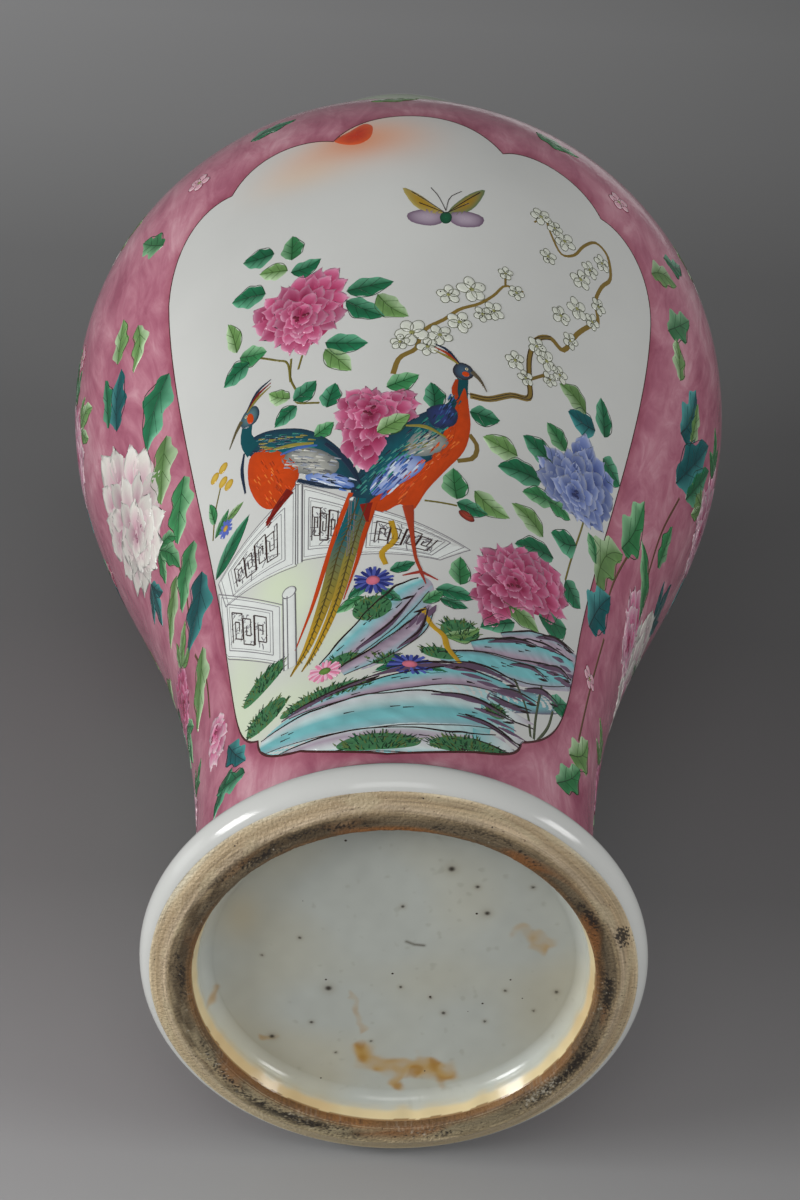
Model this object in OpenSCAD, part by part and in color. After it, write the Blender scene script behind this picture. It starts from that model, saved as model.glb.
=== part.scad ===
// Baluster vase of painted porcelain: a flared foot, a long tapering body,
// a high round shoulder and a short neck. The wall is made in sections that
// are luted together, with the fired-on glaze and enamel as thin outer layers.
// Millimetres, +Z up, origin at the centre of the ring that the vase stands on.

/* [Foot] */
// Radius of the foot at its widest, on the glazed rim
foot_r = 58; // [56:0.5:60]
// Height of the foot's widest circle above the resting plane
foot_rim_z = 7.5; // [6.5:0.5:9]
// Outer radius of the flat bearing face
bearing_r = 51; // [50:0.5:52]
// Radius of the recess under the base
recess_r = 45.8; // [44:0.2:47]
// Depth of the recess under the base
recess_h = 8.6; // [7.5:0.2:9.5]
// Height of the unglazed chamfer round the bearing face
chamfer_h = 2.6; // [2:0.2:3.2]
// Width of the unglazed chamfer
chamfer_w = 4.4; // [3.6:0.2:5]

/* [Body] */
// Radius of the waist, just above the foot
waist_r = 46.5; // [45:0.5:48]
// Height of the waist
waist_z = 26; // [24:0.5:28]
// Radius of the body at its widest
belly_r = 90.5; // [86:0.5:94]
// Height of the widest circle, where the two halves are luted
belly_z = 230; // [222:1:236]
// Thickness of the wall
wall = 6; // [5:0.25:7]
// Thickness of the floor of the vase
floor_h = 6.4; // [5.5:0.2:7.5]

/* [Neck] */
// Radius of the neck at its narrowest
neck_r = 37; // [35:0.5:39]
// Height at which the shoulder turns into the neck
neck_root_z = 295; // [292:1:298]
// Height at which the neck becomes straight
neck_z = 309; // [307:1:312]
// Height at which the lip begins
lip_z = 326; // [322:1:330]
// Radius of the lip
lip_r = 43.6; // [42:0.2:46]
// Height of the lip's widest circle
lip_rim_z = 337; // [334:0.5:339]

/* [Fired layers] */
// Thickness of the glaze and enamel layers
glaze = 0.35; // [0.3:0.05:0.5]
// Height at which the white foot band gives way to the coloured ground
band_z = 12; // [11:0.5:14]

/* [Painted panels] */
// Half width of a panel at its widest
panel_w = 64; // [60:1:66]
// Height of a panel's top point
panel_top = 241; // [238:1:243]
// Height of a panel's bottom point
panel_bottom = 26.5; // [26.5:0.5:30]

/* [Hidden] */
$fn = 96;

floor_top = recess_h + floor_h;
floor_r = recess_r - 1.8;      // the floor disc ends inside the foot wall
bore_r = waist_r - wall;       // radius of the hollow at the waist
well_r = 9;                    // fillet between the floor and the wall
edge = 0.6;                    // small chamfer on the ring's inner edge
end_slope = 8;                 // how far the shoulder curve falls over its last handle
lip_step = 1;                  // how much wider the neck is under the lip
tuck = 0.15;                   // where the bare wall starts under the rim's glaze

// Point, and direction, on a cubic curve through the control points c at 0 <= t <= 1.
function at(c, t) = pow(1 - t, 3) * c[0] + 3 * pow(1 - t, 2) * t * c[1]
    + 3 * (1 - t) * t * t * c[2] + pow(t, 3) * c[3];
function along(c, t) = 3 * pow(1 - t, 2) * (c[1] - c[0]) + 6 * (1 - t) * t * (c[2] - c[1])
    + 3 * t * t * (c[3] - c[2]);
// The curve moved d inwards from the outer surface, in n steps, from t = a to t = b.
function inset(c, d, n, a = 0, b = 1) = [for (i = [0:n]) let (t = a + (b - a) * i / n,
    p = at(c, t), v = along(c, t)) [p[0] - d * v[1] / norm(v), p[1] + d * v[0] / norm(v)]];
function back_to_front(list) = [for (i = [len(list) - 1:-1:0]) list[i]];

// The outer profile, from the foot up, as cubic curves of [radius, height].
rim_c = [[bearing_r + chamfer_w, chamfer_h], [bearing_r + chamfer_w + 1.6, chamfer_h + 0.8],
         [foot_r, foot_rim_z - 2.3], [foot_r, foot_rim_z]];
flare_c = [[foot_r, foot_rim_z], [foot_r, foot_rim_z + 5], [waist_r, waist_z - 8.5],
           [waist_r, waist_z]];
body_c = [[waist_r, waist_z], [waist_r, waist_z + 110], [belly_r, belly_z - 57],
          [belly_r, belly_z]];
shoulder_c = [[belly_r, belly_z], [belly_r, belly_z + 34],
              [neck_r + 33, neck_root_z - end_slope], [neck_r + 7, neck_root_z]];
throat_c = [[neck_r + 7, neck_root_z], [neck_r + 2, neck_root_z + 1.5],
            [neck_r, neck_root_z + 5], [neck_r, neck_z]];
neck_c = [[neck_r, neck_z], [neck_r, neck_z + 6], [neck_r + lip_step, lip_z - 6],
          [neck_r + lip_step, lip_z]];
lip_c = [[neck_r + lip_step, lip_z], [neck_r + lip_step, lip_z + 5], [lip_r, lip_rim_z - 5],
         [lip_r, lip_rim_z]];
mouth_c = [[lip_r, lip_rim_z], [lip_r, lip_rim_z + 4.4], [neck_r + 1, lip_rim_z + 5.6],
           [neck_r - 3, lip_rim_z + 1]];

// Where on the foot's flare the white band ends: the curve's height there is band_z.
function flare_t(t = 0, s = 0.5) = s < 0.001 ? t
    : flare_t(at(flare_c, t + s)[1] < band_z ? t + s : t, s / 2);
band_t = flare_t();

// A closed ring between an outer line and an inner line that both go up.
module ring(outer, inner) rotate_extrude() polygon(concat(outer, back_to_front(inner)));

// The layer between two depths below the outer surface, over the painted part of the wall.
function painted(d) = concat(inset(flare_c, d, 6, band_t), inset(body_c, d, 28),
                             inset(shoulder_c, d, 16), inset(throat_c, d, 6));
module painted_layer() ring(painted(0), painted(glaze));

// The fillet inside the foot, d above the bare wall.
function well(d) = [for (i = [0:6]) let (a = -90 + 15 * i)
    [bore_r - well_r + (well_r - d) * cos(a), floor_top + well_r + (well_r - d) * sin(a)]];

// The hollow's whole surface, d above the bare wall, from the floor to the lip.
function hollow(d) = concat([[0, floor_top + d]], well(d), inset(body_c, wall + d, 28),
    inset(shoulder_c, wall + d, 16), inset(throat_c, wall + d, 4),
    [[neck_r + lip_step - wall - d, lip_z]]);

// Half of a panel's bracket-shaped outline, seen straight on, from its top point down.
half_panel = [
    [[0, panel_top], [9, panel_top], [17, panel_top - 5], [22, panel_top - 13]],
    [[22, panel_top - 13], [27, panel_top - 8], [42, panel_top - 9], [48.5, panel_top - 23.5]],
    [[48.5, panel_top - 23.5], [57, panel_top - 21], [panel_w, panel_top - 30],
     [panel_w, panel_top - 42]],
    [[panel_w, panel_top - 42], [panel_w - 0.5, panel_top - 76], [42, panel_bottom + 78],
     [41, panel_bottom + 48]],
    [[41, panel_bottom + 48], [40.3, panel_bottom + 34], [38, panel_bottom + 24],
     [33, panel_bottom + 18]],
    [[33, panel_bottom + 18], [33, panel_bottom + 10], [28, panel_bottom + 8],
     [23, panel_bottom + 7]],
    [[23, panel_bottom + 7], [14, panel_bottom + 7], [8, panel_bottom + 0.5],
     [0, panel_bottom]]];
panel_steps = 5;
outline = [for (c = half_panel) for (i = [1:panel_steps]) at(c, i / panel_steps)];

// A straight prism with the panel's outline, through the front (-Y) half of the vase.
module panel_prism() rotate([90, 0, 0]) linear_extrude(height = belly_r + 10)
    polygon(concat(outline, [for (p = back_to_front(outline)) if (p[0] > 0) [-p[0], p[1]]],
                   [[0, panel_top]]));

// The unglazed ring that the vase stands on, trimmed flat and chamfered.
module foot_ring() color("tan") rotate_extrude() polygon([[recess_r, chamfer_h],
    [recess_r, edge], [recess_r + edge, 0], [bearing_r, 0], [bearing_r + chamfer_w, chamfer_h]]);

// The flared wall of the foot, with the fillet at the bottom of the hollow.
module foot_wall() color("ghostwhite") rotate_extrude() polygon(concat(
    [[recess_r, chamfer_h], [bearing_r + chamfer_w - glaze, chamfer_h]],
    inset(rim_c, glaze, 6, tuck), inset(flare_c, glaze, 10), [[bore_r, waist_z]],
    back_to_front(well(0)), [[floor_r, floor_top], [floor_r, recess_h]]));

// The floor disc set into the foot wall.
module base_floor() color("ghostwhite") translate([0, 0, recess_h])
    cylinder(r = floor_r, h = floor_h);

// The pool of glaze under the floor, inside the foot ring.
module base_glaze() color("aliceblue") translate([0, 0, recess_h - glaze])
    cylinder(r = floor_r, h = glaze);

// The lower half of the body, from the waist to the luted seam.
module lower_body() color("white") ring(inset(body_c, glaze, 28), inset(body_c, wall, 28));

// The upper half of the body: the shoulder, turned in to the neck.
module shoulder() color("white") ring(
    concat(inset(shoulder_c, glaze, 16), inset(throat_c, glaze, 6)),
    concat(inset(shoulder_c, wall, 16), inset(throat_c, wall, 4)));

// The neck, luted to the shoulder.
module neck() color("white") ring(inset(neck_c, glaze, 4),
    [[neck_r - wall, neck_z], [neck_r + lip_step - wall, lip_z]]);

// The rolled lip round the mouth.
module mouth_lip() color("white") rotate_extrude() polygon(concat(
    [[neck_r + lip_step - wall, lip_z], [neck_r + lip_step - glaze, lip_z]],
    inset(lip_c, glaze, 8, tuck), inset(mouth_c, glaze, 10)));

// The clear white glaze inside, from the floor to the lip.
module inner_glaze() color("aliceblue") ring(hollow(glaze), hollow(0));

// The white glazed band round the foot, below the coloured ground.
module foot_glaze() color("aliceblue") ring(
    concat(inset(rim_c, 0, 6), inset(flare_c, 0, 6, 0, band_t)),
    concat([[bearing_r + chamfer_w - glaze, chamfer_h]], inset(rim_c, glaze, 6, tuck),
           inset(flare_c, glaze, 6, 0, band_t)));

// The rose enamel ground all round, left open for the two panels.
module ground_enamel() color("palevioletred") difference() {
    painted_layer();
    panel_prism();
    mirror([0, 1, 0]) panel_prism();
}

// The two white panels that hold the pictures.
module front_panel() color("white") intersection() {
    painted_layer();
    panel_prism();
}
module back_panel() color("white") mirror([0, 1, 0]) front_panel();

// The glaze over the neck and lip.
function neck_line(d) = concat(inset(neck_c, d, 4), inset(lip_c, d, 8, tuck),
                               inset(mouth_c, d, 10));
module neck_glaze() color("aliceblue") ring(neck_line(0), neck_line(glaze));

foot_ring();
foot_wall();
base_floor();
base_glaze();
lower_body();
shoulder();
neck();
mouth_lip();
inner_glaze();
foot_glaze();
ground_enamel();
front_panel();
back_panel();
neck_glaze();
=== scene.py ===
import bpy
import numpy as np
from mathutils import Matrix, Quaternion, Vector


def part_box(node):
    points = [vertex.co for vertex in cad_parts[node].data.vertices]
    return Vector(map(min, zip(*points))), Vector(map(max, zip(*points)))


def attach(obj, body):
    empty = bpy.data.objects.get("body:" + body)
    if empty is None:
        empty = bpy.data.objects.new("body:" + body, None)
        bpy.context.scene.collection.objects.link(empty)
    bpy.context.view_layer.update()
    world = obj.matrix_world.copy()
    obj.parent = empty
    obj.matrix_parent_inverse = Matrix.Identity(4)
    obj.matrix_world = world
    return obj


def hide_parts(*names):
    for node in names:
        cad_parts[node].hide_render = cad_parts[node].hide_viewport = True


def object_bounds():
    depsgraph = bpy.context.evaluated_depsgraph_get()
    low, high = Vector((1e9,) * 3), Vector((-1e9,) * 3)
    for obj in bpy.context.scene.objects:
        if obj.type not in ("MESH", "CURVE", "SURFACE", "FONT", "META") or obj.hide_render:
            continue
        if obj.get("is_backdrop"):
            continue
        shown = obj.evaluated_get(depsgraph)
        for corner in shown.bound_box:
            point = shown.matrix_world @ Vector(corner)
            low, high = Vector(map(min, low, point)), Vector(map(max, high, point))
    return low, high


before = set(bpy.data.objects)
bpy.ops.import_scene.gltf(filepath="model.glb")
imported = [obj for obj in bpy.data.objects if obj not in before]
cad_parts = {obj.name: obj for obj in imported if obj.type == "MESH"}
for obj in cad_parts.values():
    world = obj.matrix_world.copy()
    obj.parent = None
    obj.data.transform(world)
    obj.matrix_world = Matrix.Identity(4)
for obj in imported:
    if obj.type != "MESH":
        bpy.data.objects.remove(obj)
cad_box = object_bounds()

# ---------------------------------------------------------------------------
# The camera. The vase is looked at from under its foot through a long lens,
# so the lens is below the resting plane, looks up at the front picture, and
# stands a little to the left of the picture's middle.
# ---------------------------------------------------------------------------
MM = 0.001
foot_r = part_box("foot_glaze")[1].x / MM
camera_away = 13 * foot_r * MM
camera_drop = np.radians(46.28)
camera_turn = np.radians(2.5)
lens_up = np.radians(52.91)
sight_shift = 0.0009      # turns the sight line a hair to the right
lens_roll = 0.008         # and the lens about it, in radians

camera_data = bpy.data.cameras.new("long_lens")
camera_data.sensor_fit = "VERTICAL"
camera_data.sensor_height = 36
camera_data.lens = 99.54
camera_data.clip_start = 0.01
camera = bpy.data.objects.new("long_lens", camera_data)
bpy.context.scene.collection.objects.link(camera)
bpy.context.scene.camera = camera
toward_lens = Vector((-np.sin(camera_turn), -np.cos(camera_turn), 0))
lens_right = Vector((np.cos(camera_turn), -np.sin(camera_turn), 0))
sight = -toward_lens * np.cos(lens_up) + Vector((0, 0, np.sin(lens_up))) + lens_right * sight_shift
camera.location = toward_lens * camera_away * np.cos(camera_drop)
camera.location.z = -camera_away * np.sin(camera_drop)
rolled = Quaternion((0, 0, 1), lens_roll)
camera.rotation_euler = (sight.to_track_quat("-Z", "Y") @ rolled).to_euler()
bpy.context.scene.view_settings.view_transform = "Standard"

# ---------------------------------------------------------------------------
# The studio. Narrow soft lights stand left and right, broad ones in front and
# at the side, a weak one hangs over the mouth, and the room is an even grey. A
# grey board leans just behind the vase, with painted shade that darkens it toward
# its middle and to the right, and the floor is pale paper, also painted darker
# to the right.
# ---------------------------------------------------------------------------
belly_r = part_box("ground_enamel")[1].x / MM
belly_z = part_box("lower_body")[1].z / MM
rim_z = 7.5
board_gap = 2.0           # the board stands this far, in mm, behind the foot
board_half = 1.0
board_rise = 0.40         # how far up its own slope the board's middle is, in metres


def node(tree, kind, **inputs):
    """A new node of a shader tree, with starting values by the names of its inputs, where an
    underscore stands for a space."""
    made = tree.nodes.new("ShaderNode" + kind)
    for socket, value in inputs.items():
        made.inputs[socket.replace("_", " ")].default_value = value
    return made


def wire(tree, *links):
    """Links nodes: each entry is a node, its output, the next node and its input."""
    for source, output, target, socket in links:
        tree.links.new(source.outputs[output], target.inputs[socket])


def calculated(tree, operation, second=None):
    """A node for one sum, such as MULTIPLY, with its second number where that is fixed."""
    made = node(tree, "Math")
    made.operation = operation
    if second is not None:
        made.inputs[1].default_value = second
    return made


def one_sided(name, tones, fade_from, fade_to):
    """A rough surface, clear from behind, that fades with distance from its middle. Its
    grey runs through tones up its height and is a little darker to the right: painted shade."""
    material = bpy.data.materials.new(name)
    material.use_nodes = True
    tree = material.node_tree
    tree.nodes.clear()
    out = node(tree, "OutputMaterial")
    mix = node(tree, "MixShader")
    paint = node(tree, "BsdfDiffuse")
    clear = node(tree, "BsdfTransparent")
    place = node(tree, "TexCoord")
    length = node(tree, "VectorMath")
    length.operation = "LENGTH"
    fade = node(tree, "MapRange", From_Min=fade_from, From_Max=fade_to)
    fade.interpolation_type = "SMOOTHSTEP"
    geometry = node(tree, "NewGeometry")
    either = calculated(tree, "MAXIMUM")
    apart = node(tree, "SeparateXYZ")
    # painted shade: the grey ramp up the height and the across factor, darker to the right, are painted into
    # the colour
    height = node(tree, "MapRange", From_Min=-0.42, From_Max=0.42)
    across = node(tree, "MapRange", From_Min=-0.2, From_Max=0.2, To_Min=1.25, To_Max=0.75)
    ramp = node(tree, "ValToRGB")
    ramp.color_ramp.elements[0].color = (tones[0],) * 3 + (1,)
    ramp.color_ramp.elements[1].color = (tones[-1],) * 3 + (1,)
    for place_up, tone in zip(np.linspace(0, 1, len(tones))[1:-1], tones[1:-1]):
        ramp.color_ramp.elements.new(place_up).color = (tone, tone, tone, 1)
    shade = node(tree, "Mix")
    shade.data_type = "RGBA"
    shade.blend_type = "MULTIPLY"
    shade.inputs[0].default_value = 1
    wire(tree, (place, "Object", apart, "Vector"), (apart, "Y", height, "Value"),
         (height, "Result", ramp, "Fac"), (apart, "X", across, "Value"),
         (ramp, "Color", shade, 6), (across, "Result", shade, 7), (shade, 2, paint, "Color"),
         (place, "Object", length, 0), (length, "Value", fade, "Value"),
         (fade, "Result", either, 0), (geometry, "Backfacing", either, 1),
         (either, "Value", mix, "Fac"), (paint, "BSDF", mix, 1), (clear, "BSDF", mix, 2),
         (mix, "Shader", out, "Surface"))
    return material


def flat_sheet(name, half, material):
    """A square sheet facing its own +Z, as a stage piece."""
    mesh = bpy.data.meshes.new(name)
    corners = [(-half, -half, 0), (half, -half, 0), (half, half, 0), (-half, half, 0)]
    mesh.from_pydata(corners, [], [(0, 1, 2, 3)])
    mesh.materials.append(material)
    sheet = bpy.data.objects.new(name, mesh)
    bpy.context.scene.collection.objects.link(sheet)
    sheet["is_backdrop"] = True
    return sheet


# painted shade: the board's grey darkens toward its middle, like a soft shadow behind the vase, and to the
# right
grey_board_painted_shade = one_sided("grey_board_painted_shade", (0.43, 0.25, 0.205, 0.21, 0.26, 0.38, 0.47), 0.55, 0.95)
board = flat_sheet("leaning_board", board_half, grey_board_painted_shade)
lean = np.arctan2(belly_r - foot_r, belly_z - rim_z)
board.rotation_euler = (np.pi / 2 - lean, 0, 0)
board.location = (0, (foot_r + board_gap) * MM - np.tan(lean) * rim_z * MM, 0)
board.location += Vector((0, np.sin(lean), np.cos(lean))) * board_rise

# painted shade: through one_sided the floor's grey is painted lighter to the left and darker to the right
pale_floor = one_sided("pale_floor", (0.5, 0.5), 0.8, 1.6)
floor = flat_sheet("pale_floor", 1.7, pale_floor)
floor.visible_diffuse = False
floor.visible_glossy = False
floor.visible_transmission = False
floor.visible_shadow = False

room = bpy.data.worlds.new("grey_room")
room.use_nodes = True
walls = room.node_tree.nodes["Background"]
walls.inputs["Color"].default_value = (0.19, 0.19, 0.193, 1)
walls.inputs["Strength"].default_value = 1.0
bpy.context.scene.world = room


def soft_light(name, place, aim, width, height, power):
    """A rectangular soft light at place that points at aim."""
    lamp = bpy.data.lights.new(name, "AREA")
    lamp.shape = "RECTANGLE"
    lamp.size = width
    lamp.size_y = height
    lamp.energy = power
    light = bpy.data.objects.new(name, lamp)
    light.location = place
    light.rotation_euler = (Vector(aim) - Vector(place)).to_track_quat("-Z", "Y").to_euler()
    bpy.context.scene.collection.objects.link(light)


for light_name, place, aim, width, height, power in (
        ("left_light", (-1.05, -0.45, -0.30), (0, 0, 0.08), 0.30, 0.55, 7.6),
        ("right_light", (1.05, -0.50, -0.30), (0, 0, 0.08), 0.30, 0.55, 3.8),
        ("front_light", (-0.1, -1.5, -1.1), (0, 0, 0.1), 0.9, 0.9, 5.4),
        ("side_light", (-1.6, 0.25, 0.1), (0, 0, 0.15), 1.0, 1.2, 4),
        ("mouth_light", (0.3, 0.5, 1.4), (0, 0, 0.3), 0.8, 0.8, 0.8)):
    soft_light(light_name, place, aim, width, height, power)

# ---------------------------------------------------------------------------
# The pot's form. It is thrown in porcelain: every surface on it is the outer
# profile, turned about the upright axis, or a layer fired on just over it.
# ---------------------------------------------------------------------------
waist_r = 46.5
waist_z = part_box("lower_body")[0].z / MM
neck_r = 37
neck_root_z = 295
neck_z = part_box("neck")[0].z / MM
lip_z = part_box("neck")[1].z / MM
lip_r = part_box("neck_glaze")[1].x / MM
lip_rim_z = 337
chamfer_r = 55.4
chamfer_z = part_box("foot_ring")[1].z / MM
wall = 6.0
TURN = 2 * np.pi


def curve(points, steps=40):
    """The cubic curve through four control points, as steps + 1 points."""
    t = np.linspace(0, 1, steps + 1)[:, None]
    a, b, c, d = np.array(points, float)
    return (1 - t) ** 3 * a + 3 * (1 - t) ** 2 * t * b + 3 * (1 - t) * t * t * c + t ** 3 * d


def chain(*runs):
    """Curves joined end to end, each shared point kept once."""
    return np.vstack([runs[0]] + [run[1:] for run in runs[1:]])


rim_line = curve([(chamfer_r, chamfer_z), (chamfer_r + 1.6, chamfer_z + 0.8),
                  (foot_r, rim_z - 2.3), (foot_r, rim_z)], 12)
flare_line = curve([(foot_r, rim_z), (foot_r, rim_z + 5), (waist_r, waist_z - 8.5),
                    (waist_r, waist_z)], 24)
body_line = curve([(waist_r, waist_z), (waist_r, waist_z + 110), (belly_r, belly_z - 57),
                   (belly_r, belly_z)], 160)
shoulder_line = curve([(belly_r, belly_z), (belly_r, belly_z + 34),
                       (neck_r + 33, neck_root_z - 8), (neck_r + 7, neck_root_z)], 70)
throat_line = curve([(neck_r + 7, neck_root_z), (neck_r + 2, neck_root_z + 1.5),
                     (neck_r, neck_root_z + 5), (neck_r, neck_z)], 16)
neck_line = curve([(neck_r, neck_z), (neck_r, neck_z + 6), (neck_r + 1, lip_z - 6),
                   (neck_r + 1, lip_z)], 10)
lip_line = curve([(neck_r + 1, lip_z), (neck_r + 1, lip_z + 5), (lip_r, lip_rim_z - 5),
                  (lip_r, lip_rim_z)], 16)
mouth_line = curve([(lip_r, lip_rim_z), (lip_r, lip_rim_z + 4.4), (neck_r + 1, lip_rim_z + 5.6),
                    (neck_r - 3, lip_rim_z + 1)], 20)
outer = chain(rim_line, flare_line, body_line, shoulder_line, throat_line, neck_line, lip_line,
              mouth_line)
girth_s = np.concatenate([[0], np.cumsum(np.hypot(*np.diff(outer, axis=0).T))])
# s is counted so that at the waist it is the height
girth_s += waist_z - np.interp(waist_z, outer[:200, 1], girth_s[:200])


def outward(line):
    """Unit normals of a profile that goes up, pointing away from the axis."""
    slope = np.gradient(line, axis=0)
    slope /= np.linalg.norm(slope, axis=1)[:, None]
    return np.stack([slope[:, 1], -slope[:, 0]], 1)


outer_normal = outward(outer)


def along(s):
    """Radius, height and the two parts of the normal at s mm along the outer profile."""
    return [np.interp(s, girth_s, column)
            for column in (outer[:, 0], outer[:, 1], outer_normal[:, 0], outer_normal[:, 1])]


SKIN = -0.15      # the glazes' surface lies this far inside the pot's outermost size


def on_pot(u, s, lift, side=0.0):
    """Points in metres, u mm round the girth from the middle of a side, s mm up the profile
    and lift mm proud of the glaze: (R sin a, -R cos a, Z) with a = u / radius + side."""
    radius, height, normal_r, normal_z = along(s)
    angle = u / radius + side
    ring = radius + (lift + SKIN) * normal_r
    return np.stack([ring * np.sin(angle), -ring * np.cos(angle),
                     height + (lift + SKIN) * normal_z], -1) * MM


def make_piece(name, points, faces, material, colours=None, replaces=()):
    """Puts points and four-cornered faces into one smooth mesh that rides with the pot."""
    mesh = bpy.data.meshes.new(name)
    mesh.vertices.add(len(points))
    mesh.vertices.foreach_set("co", points.astype(np.float32).ravel())
    mesh.loops.add(faces.size)
    mesh.loops.foreach_set("vertex_index", faces.astype(np.int32).ravel())
    mesh.polygons.add(len(faces))
    mesh.polygons.foreach_set("loop_start", np.arange(0, faces.size, 4, dtype=np.int32))
    mesh.polygons.foreach_set("use_smooth", np.ones(len(faces), bool))
    mesh.update(calc_edges=True)
    if colours is not None:
        paint = mesh.color_attributes.new("paint", "FLOAT_COLOR", "POINT")
        paint.data.foreach_set("color", colours.astype(np.float32).ravel())
    mesh.validate()
    mesh.materials.append(material)
    piece = bpy.data.objects.new(name, mesh)
    bpy.context.scene.collection.objects.link(piece)
    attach(piece, "root")
    if replaces:
        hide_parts(*replaces)
    return piece


def grid_faces(rows, columns, first=0, wrap=False):
    """Four-cornered faces of a rows by columns grid of points stored row after row."""
    across = columns if wrap else columns - 1
    row, column = np.meshgrid(np.arange(rows - 1), np.arange(across), indexing="ij")
    here = first + row * columns + column
    beside = first + row * columns + (column + 1) % columns
    return np.stack([here, beside, beside + columns, here + columns], -1).reshape(-1, 4)


def turned(name, line, material, replaces=(), sides=256):
    """A profile turned about the axis: (r sin a, -r cos a, z). The line goes up on an
    outer surface and down on an inner one, so that the faces point outwards."""
    angle = np.arange(sides) * TURN / sides
    radius = line[:, :1]
    points = np.stack([radius * np.sin(angle), -radius * np.cos(angle),
                       np.broadcast_to(line[:, 1:], (len(line), sides))], -1) * MM
    return make_piece(name, points.reshape(-1, 3), grid_faces(len(line), sides, wrap=True),
                      material, replaces=replaces)


# ---------------------------------------------------------------------------
# Glaze. A thin glass layer over the porcelain: it is glossy, faintly uneven
# like orange peel, and carries a few pits and dark iron specks. The same
# unevenness is shared by the enamels, so it is one group of nodes.
# ---------------------------------------------------------------------------
def link(tree, source, target):
    """Links an output socket to an input socket."""
    tree.links.new(source, target)


def glaze_skin_group():
    """Noise for any fired surface: Tone varies the colour, Roughness the gloss, Height the
    bump, and Specks is 1 on the small dark iron spots."""
    group = bpy.data.node_groups.new("glaze_skin", "ShaderNodeTree")
    for socket, start in (("Peel", 260.0), ("Cloud", 22.0), ("Speck", 170.0), ("Rarity", 0.9)):
        group.interface.new_socket(socket, in_out="INPUT",
                                   socket_type="NodeSocketFloat").default_value = start
    for socket in ("Tone", "Roughness", "Height", "Specks"):
        group.interface.new_socket(socket, in_out="OUTPUT", socket_type="NodeSocketFloat")
    entry = group.nodes.new("NodeGroupInput")
    leave = group.nodes.new("NodeGroupOutput")
    place = node(group, "TexCoord")
    cloud = node(group, "TexNoise", Detail=4)
    peel = node(group, "TexNoise", Detail=2)
    tone = node(group, "MapRange", To_Min=0.88, To_Max=1.1)
    gloss = node(group, "MapRange", To_Min=0.08, To_Max=0.22)
    cells = node(group, "TexVoronoi", Randomness=1)
    dot = calculated(group, "LESS_THAN", 0.1)
    split = node(group, "SeparateColor")
    rare = calculated(group, "GREATER_THAN")
    both = calculated(group, "MULTIPLY")
    for texture in (cloud, peel, cells):
        wire(group, (place, "Object", texture, "Vector"))
    wire(group, (entry, "Cloud", cloud, "Scale"), (entry, "Peel", peel, "Scale"),
         (entry, "Speck", cells, "Scale"), (cloud, "Fac", tone, "Value"),
         (cloud, "Fac", gloss, "Value"), (cells, "Distance", dot, 0),
         (cells, "Color", split, "Color"), (split, "Red", rare, 0), (entry, "Rarity", rare, 1),
         (dot, "Value", both, 0), (rare, "Value", both, 1), (tone, "Result", leave, "Tone"),
         (gloss, "Result", leave, "Roughness"), (peel, "Fac", leave, "Height"),
         (both, "Value", leave, "Specks"))
    return group


glaze_skin = glaze_skin_group()


def fired(name, bump=0.02, **sockets):
    """A material with the glaze's skin wired to its gloss and bump: the tree, the surface
    shader and the skin group, ready for a colour."""
    material = bpy.data.materials.new(name)
    material.use_nodes = True
    tree = material.node_tree
    surface = tree.nodes["Principled BSDF"]
    skin = tree.nodes.new("ShaderNodeGroup")
    skin.node_tree = glaze_skin
    for socket, value in sockets.items():
        skin.inputs[socket].default_value = value
    relief = node(tree, "Bump", Strength=bump, Distance=MM)
    wire(tree, (skin, "Roughness", surface, "Roughness"), (skin, "Height", relief, "Height"),
         (relief, "Normal", surface, "Normal"))
    return material, tree, surface, skin


def mixed(tree, kind, first, second, factor):
    """A colour mix of two colours or sockets by a number or a socket; gives its result."""
    mix = node(tree, "Mix")
    mix.data_type = "RGBA"
    mix.blend_type = kind
    for index, value in ((0, factor), (6, first), (7, second)):
        if isinstance(value, bpy.types.NodeSocket):
            link(tree, value, mix.inputs[index])
        elif index:
            mix.inputs[index].default_value = (*value, 1)
        else:
            mix.inputs[index].default_value = value
    return mix.outputs[2]


def tinted(tree, colour, skin):
    """The colour times the skin's tone."""
    grey = node(tree, "CombineColor")
    for channel in ("Red", "Green", "Blue"):
        wire(tree, (skin, "Tone", grey, channel))
    return mixed(tree, "MULTIPLY", colour, grey.outputs["Color"], 1.0)


IRON = (0.05, 0.035, 0.025)


def white_glaze_material(name, colour, rarity):
    """Glaze of one colour with iron specks; the higher the rarity, the fewer they are."""
    material, tree, surface, skin = fired(name, Rarity=rarity)
    spotted = mixed(tree, "MIX", tinted(tree, colour, skin), IRON, skin.outputs["Specks"])
    link(tree, spotted, surface.inputs["Base Color"])
    surface.inputs["IOR"].default_value = 1.5
    return material


white_glaze = white_glaze_material("white_glaze", (0.72, 0.73, 0.70), 0.985)

# the bare fired wall under the glaze, hidden in the finished pot
bare = white_glaze_material("bare_porcelain", (0.7, 0.69, 0.66), 0.99)
for hidden in ("foot_wall", "base_floor", "lower_body", "shoulder", "neck", "mouth_lip"):
    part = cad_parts[hidden]
    part.data.materials.clear()
    part.data.materials.append(bare)

# ---------------------------------------------------------------------------
# The foot ring. It was wiped clean of glaze so that the pot did not stick in
# the kiln: bare tan clay with turning marks, a rusty line where the glaze
# starts, and grey and black grime ground into the face it stands on.
# ---------------------------------------------------------------------------
recess_r = 45.8
bearing_r = 51.0
edge = 0.6


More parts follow.
